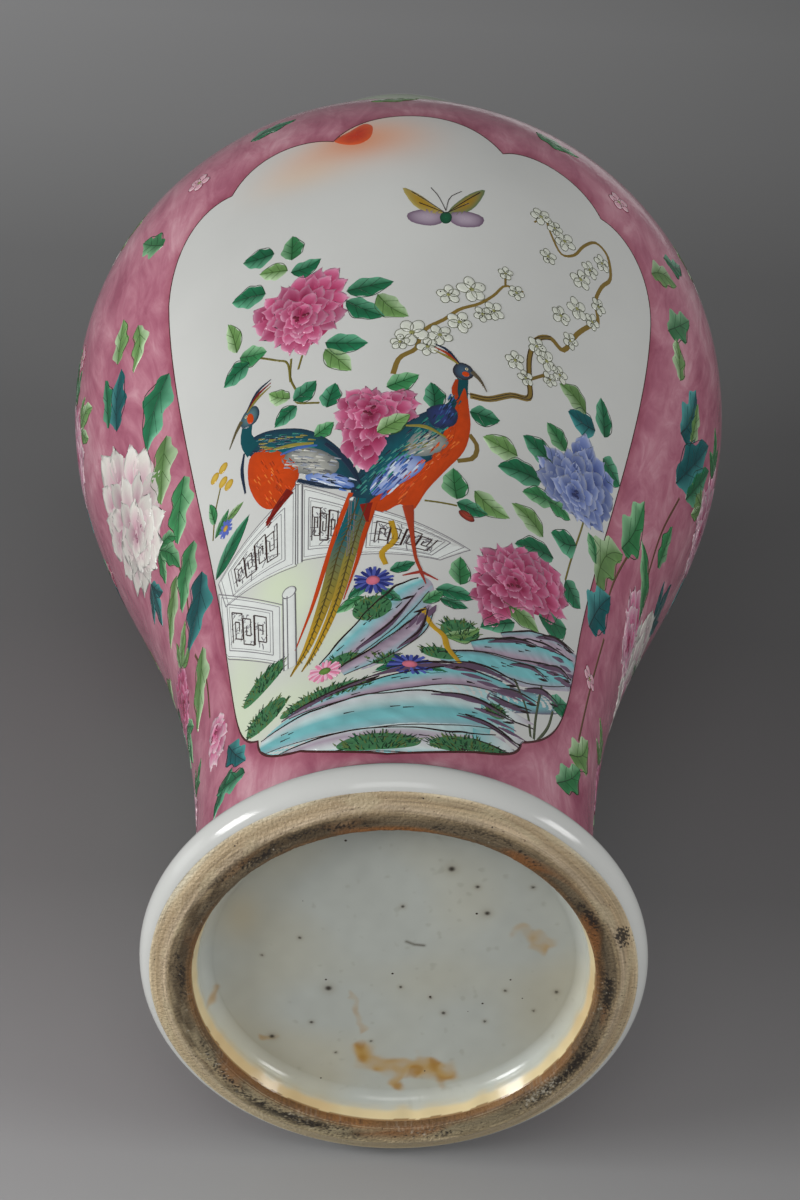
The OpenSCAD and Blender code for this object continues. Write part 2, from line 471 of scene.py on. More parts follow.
def cloud(angle, radius, finest, across, seed, waves=70):
    """An even random field of spread 1 on the foot: a sum of cosines of k a + q r + p, with
    whole k up to finest, q of the size across and random phase p."""
    draw = np.random.default_rng(seed)
    k = draw.integers(1, finest, waves)
    q = draw.normal(0, across, waves)
    p = draw.uniform(0, TURN, waves)
    return np.cos(np.multiply.outer(angle, k) + np.multiply.outer(radius, q) + p).sum(-1) / (
        waves / 2) ** 0.5


def tint(red, green, blue):
    """The linear colour of a fired surface that stands as this beside the white glaze."""
    value = np.array([red, green, blue], float) / 255
    return np.clip(value ** 2.2 * 1.38, 0, 0.95)


def over(colour, layer, share):
    """A colour laid over others by a share at each point."""
    share = np.clip(share, 0, 1)[..., None]
    return colour * (1 - share) + np.asarray(layer) * share


def spread_over(value, stops, tones):
    """Colours read off a row of tones at stops."""
    tones = np.array(tones)
    return np.stack([np.interp(value, stops, tones[:, k]) for k in range(3)], -1)


def clay_paint(angle, radius):
    """Colours of the worn ring: pale toward the glaze, tan with turning marks on the chamfer,
    then a band of black grime and white lime on the face it stands on, rusty inside."""
    stops = (45.8, 46.6, 47.6, 49.4, 50.6, 51.6, 53.4, 54.8, 55.6)
    tones = (tint(124, 88, 52), tint(106, 82, 56), tint(96, 84, 66), tint(112, 98, 76),
             tint(142, 124, 96), tint(172, 154, 128), tint(158, 138, 108), tint(174, 156, 126),
             tint(204, 194, 168))
    shifted = radius + 0.35 * cloud(angle, radius, 12, 0.3, 1)
    colour = spread_over(shifted, stops, tones)
    turning = cloud(angle, radius, 9, 9.0, 2) + 0.6 * cloud(angle, radius, 30, 22.0, 3)
    colour = colour * (1 + 0.11 * turning[..., None])
    blotch = cloud(angle, radius, 26, 1.2, 4)
    colour = over(colour, tint(186, 172, 140), 0.45 * np.clip(blotch - 0.5, 0, 1) * (radius > 50.5))
    colour = over(colour, tint(206, 192, 154), 0.45 * np.clip(-0.2 - np.cos(angle - 0.3), 0, 1)
                  * (radius > 46.4))
    soot = (0.8 * cloud(angle, radius, 7, 0.5, 12) + 0.5 * cloud(angle, radius, 40, 1.5, 13)
            + 1.1 * np.cos(angle - 5.3))
    colour = over(colour, tint(66, 52, 34), 0.74 * np.clip(soot, 0, 1)
                  * np.exp(-((radius - 48.9) / 2.1) ** 2))
    rusty = cloud(angle, radius, 14, 0.8, 5)
    colour = over(colour, tint(134, 84, 40), 0.65 * np.clip(rusty - 0.5, 0, 1)
                  * np.exp(-((radius - 47.4) / 2.0) ** 2))
    band = np.exp(-((radius - 48.5) / 1.8) ** 2)
    lime = cloud(angle, radius, 330, 5.0, 6) + 0.9 * cloud(angle, radius, 14, 0.5, 14)
    colour = over(colour, tint(190, 184, 168), np.clip(lime - 2.6, 0, 0.6) * band)
    grime = cloud(angle, radius, 330, 6.0, 7) + 1.1 * cloud(angle, radius, 16, 0.8, 8)
    colour = over(colour, tint(34, 27, 22), np.clip(1.8 * (grime - 0.95), 0, 0.95) * band ** 0.7)
    pepper = cloud(angle, radius, 320, 7.0, 9, 110)
    colour = over(colour, tint(70, 52, 38), 0.8 * (pepper > 2.5))
    kiln_scar = ((angle - 1.25) * radius / 2.6) ** 2 + ((radius - 53.2) / 1.5) ** 2
    return over(colour, tint(30, 24, 22), 0.9 * (kiln_scar < 1 + 0.6 * pepper))


def painted(tree):
    """The colour that is painted on the mesh's points."""
    paint = node(tree, "VertexColor")
    paint.layer_name = "paint"
    return paint.outputs["Color"]


def painted_material(name, rarity, bump=0.02, **sockets):
    """A fired surface whose colour is the mesh's paint attribute, varied by the skin."""
    material, tree, surface, skin = fired(name, bump=bump, Rarity=rarity, **sockets)
    toned = tinted(tree, painted(tree), skin)
    link(tree, mixed(tree, "MIX", toned, IRON, skin.outputs["Specks"]),
         surface.inputs["Base Color"])
    return material


def clay_material():
    """The paint, dulled: bare clay is rough, a little less so where hands have polished it."""
    material = painted_material("worn_biscuit", 0.90, bump=0.6, Peel=1400.0, Speck=520.0)
    tree = material.node_tree
    surface = tree.nodes["Principled BSDF"]
    skin = surface.inputs["Roughness"].links[0].from_node
    dull = node(tree, "MapRange", From_Min=0.1, From_Max=0.2, To_Min=0.36, To_Max=0.7)
    wire(tree, (skin, "Roughness", dull, "Value"), (dull, "Result", surface, "Roughness"))
    return material


def with_alpha(colours):
    """Colours by point as rows of four."""
    rows = colours.reshape(-1, 3)
    return np.hstack([np.clip(rows, 0, 1), np.ones((len(rows), 1))])


def make_foot_ring():
    """The ring's section, down the inner edge, out along the flat and up the chamfer, turned
    in many sides, with both corners worn down by random amounts."""
    corners = [(recess_r, chamfer_z + 0.3), (recess_r, edge), (recess_r + edge, 0.0),
               (bearing_r, 0.0), (chamfer_r - 0.1, chamfer_z)]
    line = np.vstack([np.linspace(a, b, n, endpoint=False)
                      for a, b, n in zip(corners, corners[1:], (4, 4, 20, 22))] + [[corners[-1]]])
    sides = 1100
    angle = np.broadcast_to(np.arange(sides) * TURN / sides, (len(line), sides))
    radius = np.repeat(line[:, :1], sides, 1)
    inner = np.exp(-((radius - recess_r) / 1.0) ** 2)
    rim = np.exp(-((radius - bearing_r) / 1.2) ** 2)
    worn = 0.05 + 0.05 * cloud(angle, 0 * radius, 60, 0, 10) + 0.03 * cloud(angle, radius, 200, 3, 11)
    height = line[:, 1:] + np.clip(worn, 0, 0.2) * (inner + rim + 0.15)
    height = height * (line[:, 1:] < chamfer_z - 0.2) + line[:, 1:] * (line[:, 1:] >= chamfer_z - 0.2)
    points = np.stack([radius * np.sin(angle), -radius * np.cos(angle), height], -1) * MM
    colours = with_alpha(clay_paint(angle, radius + 0.25 * (line[:, 1:] > 0.05) * (radius < 46.5)))
    return make_piece("worn_foot_ring", points.reshape(-1, 3), grid_faces(len(line), sides, wrap=True),
                      clay_material(), colours, ("foot_ring",))


make_foot_ring()

# ---------------------------------------------------------------------------
# The white glaze: the band round the foot, the pool in the recess with its
# rust stains, and the lining from the lip down to the floor; and the neck and
# lip, coloured a flat dark grey-green.
# ---------------------------------------------------------------------------
recess_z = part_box("base_floor")[0].z / MM
floor_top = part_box("base_floor")[1].z / MM
band_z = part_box("ground_enamel")[0].z / MM
under_enamel = outer + (SKIN - 0.05) * outer_normal
turned("foot_band", under_enamel[under_enamel[:, 1] < band_z + 1.5], white_glaze,
       ("foot_glaze",))
# the neck and lip are a flat dark grey-green, much darker than the white glaze
turned("neck_and_lip", under_enamel[under_enamel[:, 1] > neck_z - 1],
       white_glaze_material("neck_grey_green", (0.34, 0.38, 0.31), 0.985), ("neck_glaze",))


def lining_line():
    """The hollow's surface from the lip down: the profile moved in by the wall, then the
    fillet and the floor."""
    inside = chain(body_line, shoulder_line, throat_line)
    inside = inside - (wall + 0.3) * outward(inside)
    well = 9.0
    bend = np.radians(np.linspace(0, -90, 12))[:, None]
    centre = np.array([waist_r - wall - well, floor_top + well])
    fillet = centre + (well - 0.3) * np.hstack([np.cos(bend), np.sin(bend)])
    top = np.array([(neck_r - 3, lip_rim_z + 0.9), (neck_r - 4.4, lip_rim_z - 4),
                    (neck_r + 1 - wall - 0.3, lip_z)])
    return np.vstack([top, inside[::-1], fillet, [(0.01, floor_top + 0.3)]])


turned("lining", lining_line(), white_glaze, ("inner_glaze",))


def nearest(x, y, line):
    """How far each point of the plan lies from an open line."""
    best = np.full(np.shape(x), 1e9)
    for (ax, ay), (bx, by) in zip(line, line[1:]):
        t = ((x - ax) * (bx - ax) + (y - ay) * (by - ay)) / ((bx - ax) ** 2 + (by - ay) ** 2)
        t = np.clip(t, 0, 1)
        best = np.minimum(best, np.hypot(x - ax - t * (bx - ax), y - ay - t * (by - ay)))
    return best


def plan_cloud(x, y, size, seed, waves=60):
    """An even random field of spread 1 over the plan, with features of about a size in mm."""
    draw = np.random.default_rng(seed)
    across, deep = draw.normal(0, 1.6 / size, (2, waves))
    p = draw.uniform(0, TURN, waves)
    return np.cos(np.multiply.outer(x, across) + np.multiply.outer(y, deep) + p).sum(-1) / (
        waves / 2) ** 0.5


def recess_paint(angle, radius):
    """Colours of the glaze pool: grey-white and cloudy, with ochre stains that hug a few
    lines, small iron spots, and a peach-coloured, thinly glazed wall."""
    x, y = radius * np.sin(angle), -radius * np.cos(angle)
    soft = plan_cloud(x, y, 14, 21)
    mottle = plan_cloud(x, y, 2.6, 22)
    colour = tint(176, 180, 173) * (1 + 0.02 * soft + 0.012 * mottle)[..., None]
    colour = over(colour, tint(180, 168, 130), 0.16 * np.clip(soft + 0.1, 0, 2))
    colour = over(colour, tint(182, 164, 122), 0.35 * np.exp(-((x + 35) / 4) ** 2 - ((y + 12) / 7) ** 2))
    faint = plan_cloud(x, y, 1.3, 24) - 0.012 * (x - 10) ** 2 / 20
    colour = over(colour, tint(130, 130, 112), 0.22 * np.clip(faint - 1.6, 0, 1))
    ochre = tint(176, 136, 58)
    for line, wide, strong in (
            ([(-6, 29), (-5, 32), (-2, 33.4), (4, 33.4), (9, 32.4), (13, 33.6), (14.6, 36)], 2.4, 0.85),
            ([(2.2, 34.5), (2.8, 37), (2, 39.2), (3.4, 40.2)], 1.5, 0.8),
            ([(5, 35), (9, 35.5), (12.4, 35.4)], 2.0, 0.6), ([(-1, 35), (2, 37)], 1.6, 0.5),
            ([(28.5, -10.4), (31.5, -8.6), (34.5, -6.6)], 1.7, 0.6), ([(31.5, -6.5), (34, -5)], 1.2, 0.6),
            ([(-6.2, 29.6), (-5.6, 31.4)], 1.6, 0.7),
            ([(-9, 11.4), (-7.4, 16), (-7, 20), (-5.3, 22.4)], 0.7, 0.3),
            ([(-29, 26), (-27, 25.6)], 1.0, 0.5), ([(-41, 14), (-40, 11)], 1.2, 0.5)):
        gap = nearest(x + 0.5 * mottle, y + 0.5 * plan_cloud(x, y, 2.0, 23), line)
        share = strong * np.exp(-(gap / wide) ** 4) * np.clip(0.8 + 0.2 * mottle, 0.4, 1)
        colour = over(colour, ochre, share)
        colour = over(colour, tint(142, 94, 40), 0.5 * share * np.clip(mottle - 0.2, 0, 1))
    for across, deep, size in ((11.5, -28.5, 0.75), (20.3, -15.7, 0.6), (-14.5, 9.4, 0.75),
                               (-21.6, -5.9, 0.35), (-27, 25.6, 0.6), (1.2, -16.8, 0.4),
                               (37.8, 7.8, 0.45), (17.6, -23.5, 0.45), (12.3, 15.8, 0.45),
                               (-18, 20.5, 0.4), (26, 8, 0.35), (22, 18, 0.35), (-4, 25.8, 0.3),
                               (30, -24, 0.4), (9, 11, 0.3), (-30, 0, 0.3), (2, 8, 0.35),
                               (-12, 30, 0.3), (33, 14, 0.3)):
        gap = np.hypot(x - across, y - deep)
        colour = over(colour, tint(120, 104, 70), 0.35 * np.exp(-(gap / (2.2 * size)) ** 2))
        colour = over(colour, tint(40, 32, 26), 0.95 * np.exp(-(gap / size) ** 4))
    scratch = nearest(x, y, [(2.6, -6.2), (4.4, -5.4), (6.6, -5.2)])
    colour = over(colour, tint(90, 86, 74), 0.85 * np.exp(-(scratch / 0.4) ** 2))
    thin = 0.5 + 0.5 * np.tanh((radius - 44.55 - 0.08 * mottle) / 0.22)
    colour = over(colour, tint(208, 190, 146) * (1 + 0.04 * mottle)[..., None], 0.95 * thin)
    colour = over(colour, tint(190, 146, 88), 0.3 * thin * np.clip(soft - 0.4, 0, 1))
    return over(colour, tint(120, 84, 48), 0.8 * (radius > 45.62 + 0.05 * mottle))


def make_recess():
    """A shallow dish: nearly flat from the axis, a fillet, then the wall down to the ring."""
    bend = np.radians(np.linspace(90, 6, 22))[:, None]
    fillet = np.array([41.4, recess_z - 3.6]) + np.array([3.0, 3.3]) * np.hstack(
        [np.cos(bend), np.sin(bend)])
    flat = np.linspace(0.01, 41.2, 118)
    disc = np.stack([flat, recess_z - 0.3 - 0.3 * np.exp(-(flat / 26) ** 2)], 1)
    wall_line = np.linspace([44.45, recess_z - 3.8], [recess_r + 0.1, chamfer_z - 0.6], 14)
    line = np.vstack([disc, fillet, wall_line])
    sides = 560
    angle = np.broadcast_to(np.arange(sides) * TURN / sides, (len(line), sides))
    radius = np.repeat(line[:, :1], sides, 1)
    points = np.stack([radius * np.sin(angle), -radius * np.cos(angle),
                       np.repeat(line[:, 1:], sides, 1)], -1).reshape(-1, 3) * MM
    material = painted_material("recess_glaze", 0.90, bump=0.05, Speck=330.0)
    return make_piece("recess_pool", points, grid_faces(len(line), sides, wrap=True), material,
                      with_alpha(recess_paint(angle, radius)), ("base_glaze",))


make_recess()

# ---------------------------------------------------------------------------
# The rose ground. Opaque rose enamel brushed over the glaze in short upright
# strokes, thin and pale in places, and laid thicker along the panels' edges.
# ---------------------------------------------------------------------------
def panel_outline(flip=1):
    """The panel's bracket-shaped edge as a closed line of (u, s): cubic curves that meet in
    cusps, drawn by hand and so not quite even. Flip mirrors it."""
    runs = [[(1, 246.5), (9, 246.5), (17, 243), (23.5, 232.5)],
            [(23.5, 232.5), (30, 238), (46, 235), (53, 223)],
            [(53, 223), (62, 224), (71.5, 214), (72, 200)],
            [(72, 200), (72.5, 165), (54, 118), (49.5, 85)],
            [(49.5, 85), (46.5, 68), (43, 52), (29, 42)],
            [(29, 42), (28.5, 36), (22, 33), (16, 31)],
            [(16, 31), (10, 28.5), (4, 26.5), (-4, 26)],
            [(-4, 26), (-11, 27.5), (-18, 29), (-24.5, 33)],
            [(-24.5, 33), (-31, 34), (-37, 38), (-37, 44.5)],
            [(-37, 44.5), (-44, 47.5), (-45.5, 58), (-50, 83)],
            [(-50, 83), (-55, 118), (-70.5, 165), (-71, 198)],
            [(-71, 198), (-70, 213), (-62, 224.5), (-50.5, 223.5)],
            [(-50.5, 223.5), (-44, 237), (-30, 238), (-22, 234)],
            [(-22, 234), (-17, 243), (-8, 246.5), (1, 246.5)]]
    steps = (24, 24, 24, 70, 36, 14, 16, 16, 16, 36, 70, 24, 24, 24)
    line = chain(*[curve(run, n) for run, n in zip(runs, steps)])[:-1]
    return line * (flip, 1)


PANEL_MIDDLE = np.array([0.0, 128.0])


def edge_distance(u, s, outline):
    """Roughly how far, in mm, points lie outside a panel's edge, along lines from its middle."""
    away = outline - PANEL_MIDDLE
    reach = np.interp(np.arctan2(u - PANEL_MIDDLE[0], s - PANEL_MIDDLE[1]),
                      np.arctan2(away[:, 0], away[:, 1]), np.hypot(*away.T), period=TURN)
    return np.hypot(u - PANEL_MIDDLE[0], s - PANEL_MIDDLE[1]) - reach


def rose_material():
    """Rose enamel: upright brush strokes and clouds of thin and heavy colour, times the paint."""
    material, tree, surface, _ = fired("rose_enamel", bump=0.12, Peel=420.0, Rarity=0.995)
    place = node(tree, "TexCoord")
    upright = node(tree, "Mapping", Scale=(1, 1, 0.42))
    strokes = node(tree, "TexNoise", Scale=130, Detail=5, Roughness=0.62, Distortion=1.2)
    clouds = node(tree, "TexNoise", Scale=55, Detail=3)
    both = node(tree, "Math")
    halve = calculated(tree, "MULTIPLY", 0.5)
    ramp = node(tree, "ValToRGB")
    stops = ((0.34, tint(142, 74, 95)), (0.46, tint(162, 98, 116)), (0.55, tint(175, 116, 131)),
             (0.68, tint(196, 150, 160)))
    for end in (0, -1):
        ramp.color_ramp.elements[end].position = stops[end][0]
        ramp.color_ramp.elements[end].color = (*stops[end][1], 1)
    for position, colour in stops[1:-1]:
        ramp.color_ramp.elements.new(position).color = (*colour, 1)
    wire(tree, (place, "Object", upright, "Vector"), (upright, "Vector", strokes, "Vector"),
         (place, "Object", clouds, "Vector"), (strokes, "Fac", both, 0), (clouds, "Fac", both, 1),
         (both, "Value", halve, 0), (halve, "Value", ramp, "Fac"))
    link(tree, mixed(tree, "MULTIPLY", ramp.outputs["Color"], painted(tree), 1.0),
         surface.inputs["Base Color"])
    return material


def make_ground():
    """The whole outer profile between the foot band and the neck, coloured by how near each
    point is to a panel's edge, and darkened just above the foot band, with pooled enamel
    and painted shade, and toward the top with painted shade."""
    rows, sides = 240, 360
    s_low = np.interp(band_z, outer[10:40, 1], girth_s[10:40])
    s_high = np.interp(neck_z, outer[-60:-30, 1], girth_s[-60:-30])
    s = np.repeat(np.linspace(s_low, s_high, rows)[:, None], sides, 1)
    angle = np.repeat((np.arange(sides) * TURN / sides)[None, :], rows, 0)
    radius = along(s)[0]
    points = on_pot(np.zeros_like(s), s, 0.0, angle).reshape(-1, 3)
    band = np.zeros_like(s)
    for middle, flip in ((0, 1), (np.pi, -1)):
        u = ((angle - middle + np.pi) % TURN - np.pi) * radius
        gap = edge_distance(u, s, panel_outline(flip))
        band = np.maximum(band, np.exp(-(np.clip(gap, 0, None) / 3.2) ** 2))
    shade = 1 - band[..., None] * np.array([0.22, 0.42, 0.36])
    # painted shade: darker in a strip just above the foot band, where enamel also pools, and darker toward
    # the top
    pooled_enamel_and_painted_shade = 0.5 * np.exp(-((s - s_low) / 14) ** 2) + 0.42 * np.clip((s - 238) / 40, 0, 1)
    shade = shade * (1 - pooled_enamel_and_painted_shade[..., None] * np.array([0.75, 0.95, 0.9]))
    colours = np.concatenate([shade, np.ones_like(shade[..., :1])], -1).reshape(-1, 4)
    return make_piece("rose_ground", points, grid_faces(rows, sides, wrap=True),
                      rose_material(), colours, ("ground_enamel",))


make_ground()

# ---------------------------------------------------------------------------
# The two panels. Left in reserve, so their surface is the white glaze itself,
# with the palest washes of the picture, sky and ground, floated over it, and
# a fine dark line drawn round the edge.
# ---------------------------------------------------------------------------
WHITE = np.array([0.72, 0.73, 0.70])


def wash(colour, u, s, tone, middle, size, strength, lean=0.0):
    """Floats a soft oval of tone over a colour, strongest at its middle."""
    du, ds = u - middle[0], s - middle[1]
    a = du * np.cos(lean) + ds * np.sin(lean)
    b = ds * np.cos(lean) - du * np.sin(lean)
    share = strength * np.exp(-(a / size[0]) ** 2 - (b / size[1]) ** 2)
    return colour * (1 - share[..., None]) + np.asarray(tone) * share[..., None]


def panel_paint(u, s):
    """Colours of a panel's glaze: white with the sunset wash, pale green ground, and a cool
    shade under the rocks."""
    colour = np.broadcast_to(WHITE, u.shape + (3,)).copy()
    sunset = tint(214, 150, 110)
    colour = wash(colour, u, s, sunset, (-24, 229), (14, 8), 0.50, 0.25)
    colour = wash(colour, u, s, sunset, (-8, 235), (12, 10), 0.55)
    colour = wash(colour, u, s, tint(206, 120, 70), (-16, 233), (8, 7), 0.60)
    colour = wash(colour, u, s, tint(225, 180, 140), (-30, 221), (12, 6), 0.30)
    for middle, size in (((-44, 62), (8, 22)), ((-30, 52), (16, 8)), ((-33, 92), (7, 7)),
                         ((-28, 84), (8, 12)), ((-14, 66), (10, 8))):
        colour = wash(colour, u, s, tint(196, 208, 178), middle, size, 0.75)
    colour = wash(colour, u, s, tint(186, 178, 190), (0, 33), (26, 6), 0.5)
    return colour


def panel_sheet():
    """A star of lines from the panel's middle to its edge: middle + t (edge - middle)."""
    outline = panel_outline()
    t = np.linspace(0.004, 1, 64)[:, None]
    u = PANEL_MIDDLE[0] + t * (outline[:, 0] - PANEL_MIDDLE[0])
    s = PANEL_MIDDLE[1] + t * (outline[:, 1] - PANEL_MIDDLE[1])
    return [dict(u=u, s=s, lift=np.full_like(u, 0.03), colour=panel_paint(u, s), wrap=True)]


FRONT, BACK = 0.0, np.pi


def kept_inside(u, s, margin=0.25):
    """Draws points that lie past the panel's edge back to it, along lines from its middle."""
    out = np.stack([u, s], 1) - PANEL_MIDDLE
    away = np.hypot(*out.T)
    reach = away - edge_distance(u, s, panel_outline()) - margin
    out = out * np.minimum(1, reach / np.maximum(away, 1e-6))[:, None] + PANEL_MIDDLE
    return out[:, 0], out[:, 1]


def lay(name, marks, material, side=FRONT, flip=1, replaces=(), inside=False):
    """Joins marks, each a grid of u, s, lift and colour, into one piece on a side of the pot,
    mirrored where flip is -1, with every face turned outwards by the sign of its area."""
    u, s, lift = (np.concatenate([one[key].ravel() for one in marks]) for key in ("u", "s", "lift"))
    u, s = kept_inside(u, s) if inside else (u, s)
    u = u * flip
    faces, first = [], 0
    for one in marks:
        rows, columns = one["u"].shape
        quads = grid_faces(rows, columns, first, one["wrap"])
        near_u, near_s = u[quads], s[quads]
        area = ((near_u[:, 2] - near_u[:, 0]) * (near_s[:, 3] - near_s[:, 1])
                - (near_u[:, 3] - near_u[:, 1]) * (near_s[:, 2] - near_s[:, 0])).sum()
        faces.append(quads if area > 0 else quads[:, ::-1])
        first += rows * columns
    colours = with_alpha(np.vstack([one["colour"].reshape(-1, 3) for one in marks]))
    return make_piece(name, on_pot(u, s, lift, side), np.vstack(faces), material, colours,
                      replaces)


panel_glaze = painted_material("panel_glaze", 0.997)
lay("front_panel_glaze", panel_sheet(), panel_glaze, FRONT, 1, ("front_panel",))
lay("back_panel_glaze", panel_sheet(), panel_glaze, BACK, -1, ("back_panel",))

# ---------------------------------------------------------------------------
# The painter's strokes. Every mark is a thin pad of enamel that stands a few
# hundredths of a millimetre proud and dips into the glaze at its edges. Marks
# are drawn in (u, s) millimetres on the pot's skin.
# ---------------------------------------------------------------------------
LAYER = 0.018     # how much higher each later coat lies
DIP = -0.02       # and where a mark's edge ends, just under the glaze
hand = np.random.default_rng(3)


def through(points, count):
    """A smooth (Catmull-Rom) line of count points through the given ones."""
    given = np.array(points, float)
    given = np.vstack([2 * given[0] - given[1], given, 2 * given[-1] - given[-2]])
    place = np.linspace(0, len(points) - 1 - 1e-9, count)
    i = place.astype(int)
    t = (place - i)[:, None]
    a, b, c, d = given[i], given[i + 1], given[i + 2], given[i + 3]
    return 0.5 * (2 * b + (c - a) * t + (2 * a - 5 * b + 4 * c - d) * t ** 2
                  + (3 * b - a - 3 * c + d) * t ** 3)


def spread(values, count):
    """Values given at even steps, filled in to count of them."""
    values = np.atleast_1d(np.array(values, float))
    if values.ndim == 1:
        return np.interp(np.linspace(0, 1, count), np.linspace(0, 1, len(values)), values)
    return np.stack([spread(column, count) for column in values.T], 1)


ACROSS = np.array([-1, -0.86, -0.45, 0, 0.45, 0.86, 1.0])


def stroke(points, width, colour, coat=3, count=None, across=None):
    """A brush stroke along a line: width and colour may change from its start to its end, or
    the colour may change across it, from its left edge to its right."""
    given = np.array(points, float)
    count = count or max(6, 2 * len(given), int(np.hypot(*np.diff(given, axis=0).T).sum() / 1.4))
    path = through(points, count)
    way = np.gradient(path, axis=0)
    way /= np.linalg.norm(way, axis=1)[:, None] + 1e-9
    half = spread(width, count)[:, None] / 2
    u = path[:, :1] - way[:, 1:] * half * ACROSS
    s = path[:, 1:] + way[:, :1] * half * ACROSS
    columns = len(ACROSS)
    shade = spread(np.atleast_2d(colour), count)[:, None, :] * np.ones((1, columns, 1))
    if across is not None:
        shade = spread(across, columns)[None] * (1 + 0.07 * hand.normal(0, 1, (count, columns, 1)))
    lift = coat * LAYER + 0.03 * np.sqrt(1 - ACROSS ** 2) * np.ones((count, 1))
    lift[:, [0, -1]] = DIP
    return [dict(u=u, s=s, lift=lift, colour=shade, wrap=False)]


def blot(outline, colour, coat=2, rim=None, mottle=0.0, bent=True, rings=5):
    """A filled patch: a closed outline, smooth where bent, shaded from its middle to its rim
    and mottled at random."""
    given = np.array(outline, float)
    closed = np.vstack([given, given[:1]])
    girth = np.hypot(*np.diff(closed, axis=0).T).sum()
    each = max(3, int(girth / len(given) / 1.5))
    rings = max(rings, int(girth / 9))
    if bent:
        wound = np.vstack([given[-2:], given, given[:3]])
        edge_line = through(wound, 1 + (len(wound) - 1) * each)[2 * each:(2 + len(given)) * each]
    else:
        at = np.arange(each * len(given)) / each
        edge_line = np.stack([np.interp(at, np.arange(len(closed)), closed[:, k])
                              for k in (0, 1)], 1)
    middle = edge_line.mean(0)
    reach = np.append(np.linspace(0.02, 0.95, rings), 1.0)[:, None]
    u = middle[0] + reach * (edge_line[:, 0] - middle[0])
    s = middle[1] + reach * (edge_line[:, 1] - middle[1])
    colour = np.asarray(colour, float)
    edge_tone = colour if rim is None else np.asarray(rim, float)
    share = (reach ** 2)[..., None]
    shade = colour * (1 - share) + edge_tone * share + np.zeros(u.shape + (3,))
    shade = shade * (1 + mottle * hand.normal(0, 1, u.shape + (1,)))
    lift = np.full_like(u, coat * LAYER + 0.02)
    lift[-1] = DIP
    return [dict(u=u, s=s, lift=lift, colour=shade, wrap=True)]


def oval(middle, wide, high, lean=0.0, count=12):
    """Points round a leaning ellipse."""
    turn = np.arange(count) * TURN / count
    a, b = wide / 2 * np.cos(turn), high / 2 * np.sin(turn)
    return [(middle[0] + x * np.cos(lean) - y * np.sin(lean),
             middle[1] + x * np.sin(lean) + y * np.cos(lean)) for x, y in zip(a, b)]


enamel = painted_material("painted_enamel", 0.9995, bump=0.1, Peel=700.0, Cloud=160.0)


def picture(name, marks):
    """Fires marks into the front picture and, mirrored, into the back one."""
    lay("front_" + name, marks, enamel, FRONT, 1, inside=True)
    lay("back_" + name, marks, enamel, BACK, -1, inside=True)


INK = tint(38, 26, 24)
OLIVE = tint(120, 112, 50)
OCHRE = tint(168, 132, 34)

LEAF_TONES = {
    "dark": (tint(20, 68, 44), tint(34, 112, 76), tint(92, 156, 124)),
    "mid": (tint(32, 86, 46), tint(62, 132, 84), tint(124, 172, 130)),
    "light": (tint(70, 104, 50), tint(112, 150, 92), tint(166, 192, 152)),
    "teal": (tint(14, 58, 62), tint(24, 92, 94), tint(66, 138, 136)),
}


def leaf(base, tip, width, tone="dark", bend=0.0, coat=3, lobes=0.0):
    """A leaf: half widths follow a skewed sine from stalk to tip, drawn in by lobes, and the
    midrib bows by bend. Each half runs from dark at the midrib to a paler, softer margin."""
    dark, middle, pale = LEAF_TONES[tone]
    base, tip = np.array(base, float), np.array(tip, float)
    axis = tip - base
    length = np.hypot(*axis)
    axis /= length
    side = np.array([-axis[1], axis[0]])
    rows, columns = 17, len(ACROSS)
    t = np.linspace(0, 1, rows)
    rib = base + np.outer(t * length, axis) + np.outer(bend * length * np.sin(np.pi * t), side)
    half = width / 2 * np.sin(np.pi * t ** 0.8) ** 0.8
    half = half[:, None] * (1 + lobes * np.sin(5 * np.pi * t[:, None] + hand.uniform(0, 3)
                                               + 1.2 * np.sign(ACROSS)))
    u = rib[:, :1] + side[0] * half * ACROSS
    s = rib[:, 1:] + side[1] * half * ACROSS
    v = ACROSS[None, :, None]
    left = dark * (1 + v) + middle * -v
    right = (0.65 * dark + 0.35 * middle) * (1 - v) + pale * v
    shade = np.where(v < 0, left, right) * hand.uniform(0.85, 1.15)
    shade = shade * (0.84 + 0.34 * t[:, None, None]) * (1 + 0.07 * hand.normal(0, 1, (rows, columns, 1)))
    lift = coat * LAYER + 0.05 * (1 - ACROSS ** 2) * np.ones((rows, 1))
    lift[:, [0, -1]] = DIP
    marks = [dict(u=u, s=s, lift=lift, colour=shade, wrap=False)]
    vein = dark * 0.6
    marks += stroke(rib[::4], (0.3, 0.22, 0.1), vein, coat + 3, 10)
    for at in (4, 8):
        for column in (1, columns - 2):
            end = [u[at + 4, column], s[at + 4, column]]
            marks += stroke([rib[at], end], (0.18, 0.08), vein, coat + 3, 4)
    marks += stroke(np.stack([u[::3, 0], s[::3, 0]], 1), (0.1, 0.24, 0.1), vein, coat + 2, 14)
    return marks


def stem(points, width=0.6, colour=None):
    """A thin stalk, with a darker line along one side."""
    colour = OLIVE * 0.8 if colour is None else colour
    return (stroke(points, width, colour, 1)
            + stroke([(u + 0.2, s - 0.1) for u, s in points], 0.16, colour * 0.4, 2))


def ruled(points, width, colour, coat=3):
    """Straight strokes from each point to the next."""
    return sum([stroke([a, b], width, colour, coat) for a, b in zip(points, points[1:])], [])


def contour(outline, width, colour, coat=4):
    """A line drawn round a smooth closed outline, thicker and thinner as a brush makes it."""
    ring = list(outline) + [outline[0]]
    return stroke(ring, width * np.array([1, 0.6, 1.1, 0.7, 1.2, 0.8, 1]), colour, coat, 6 * len(ring))


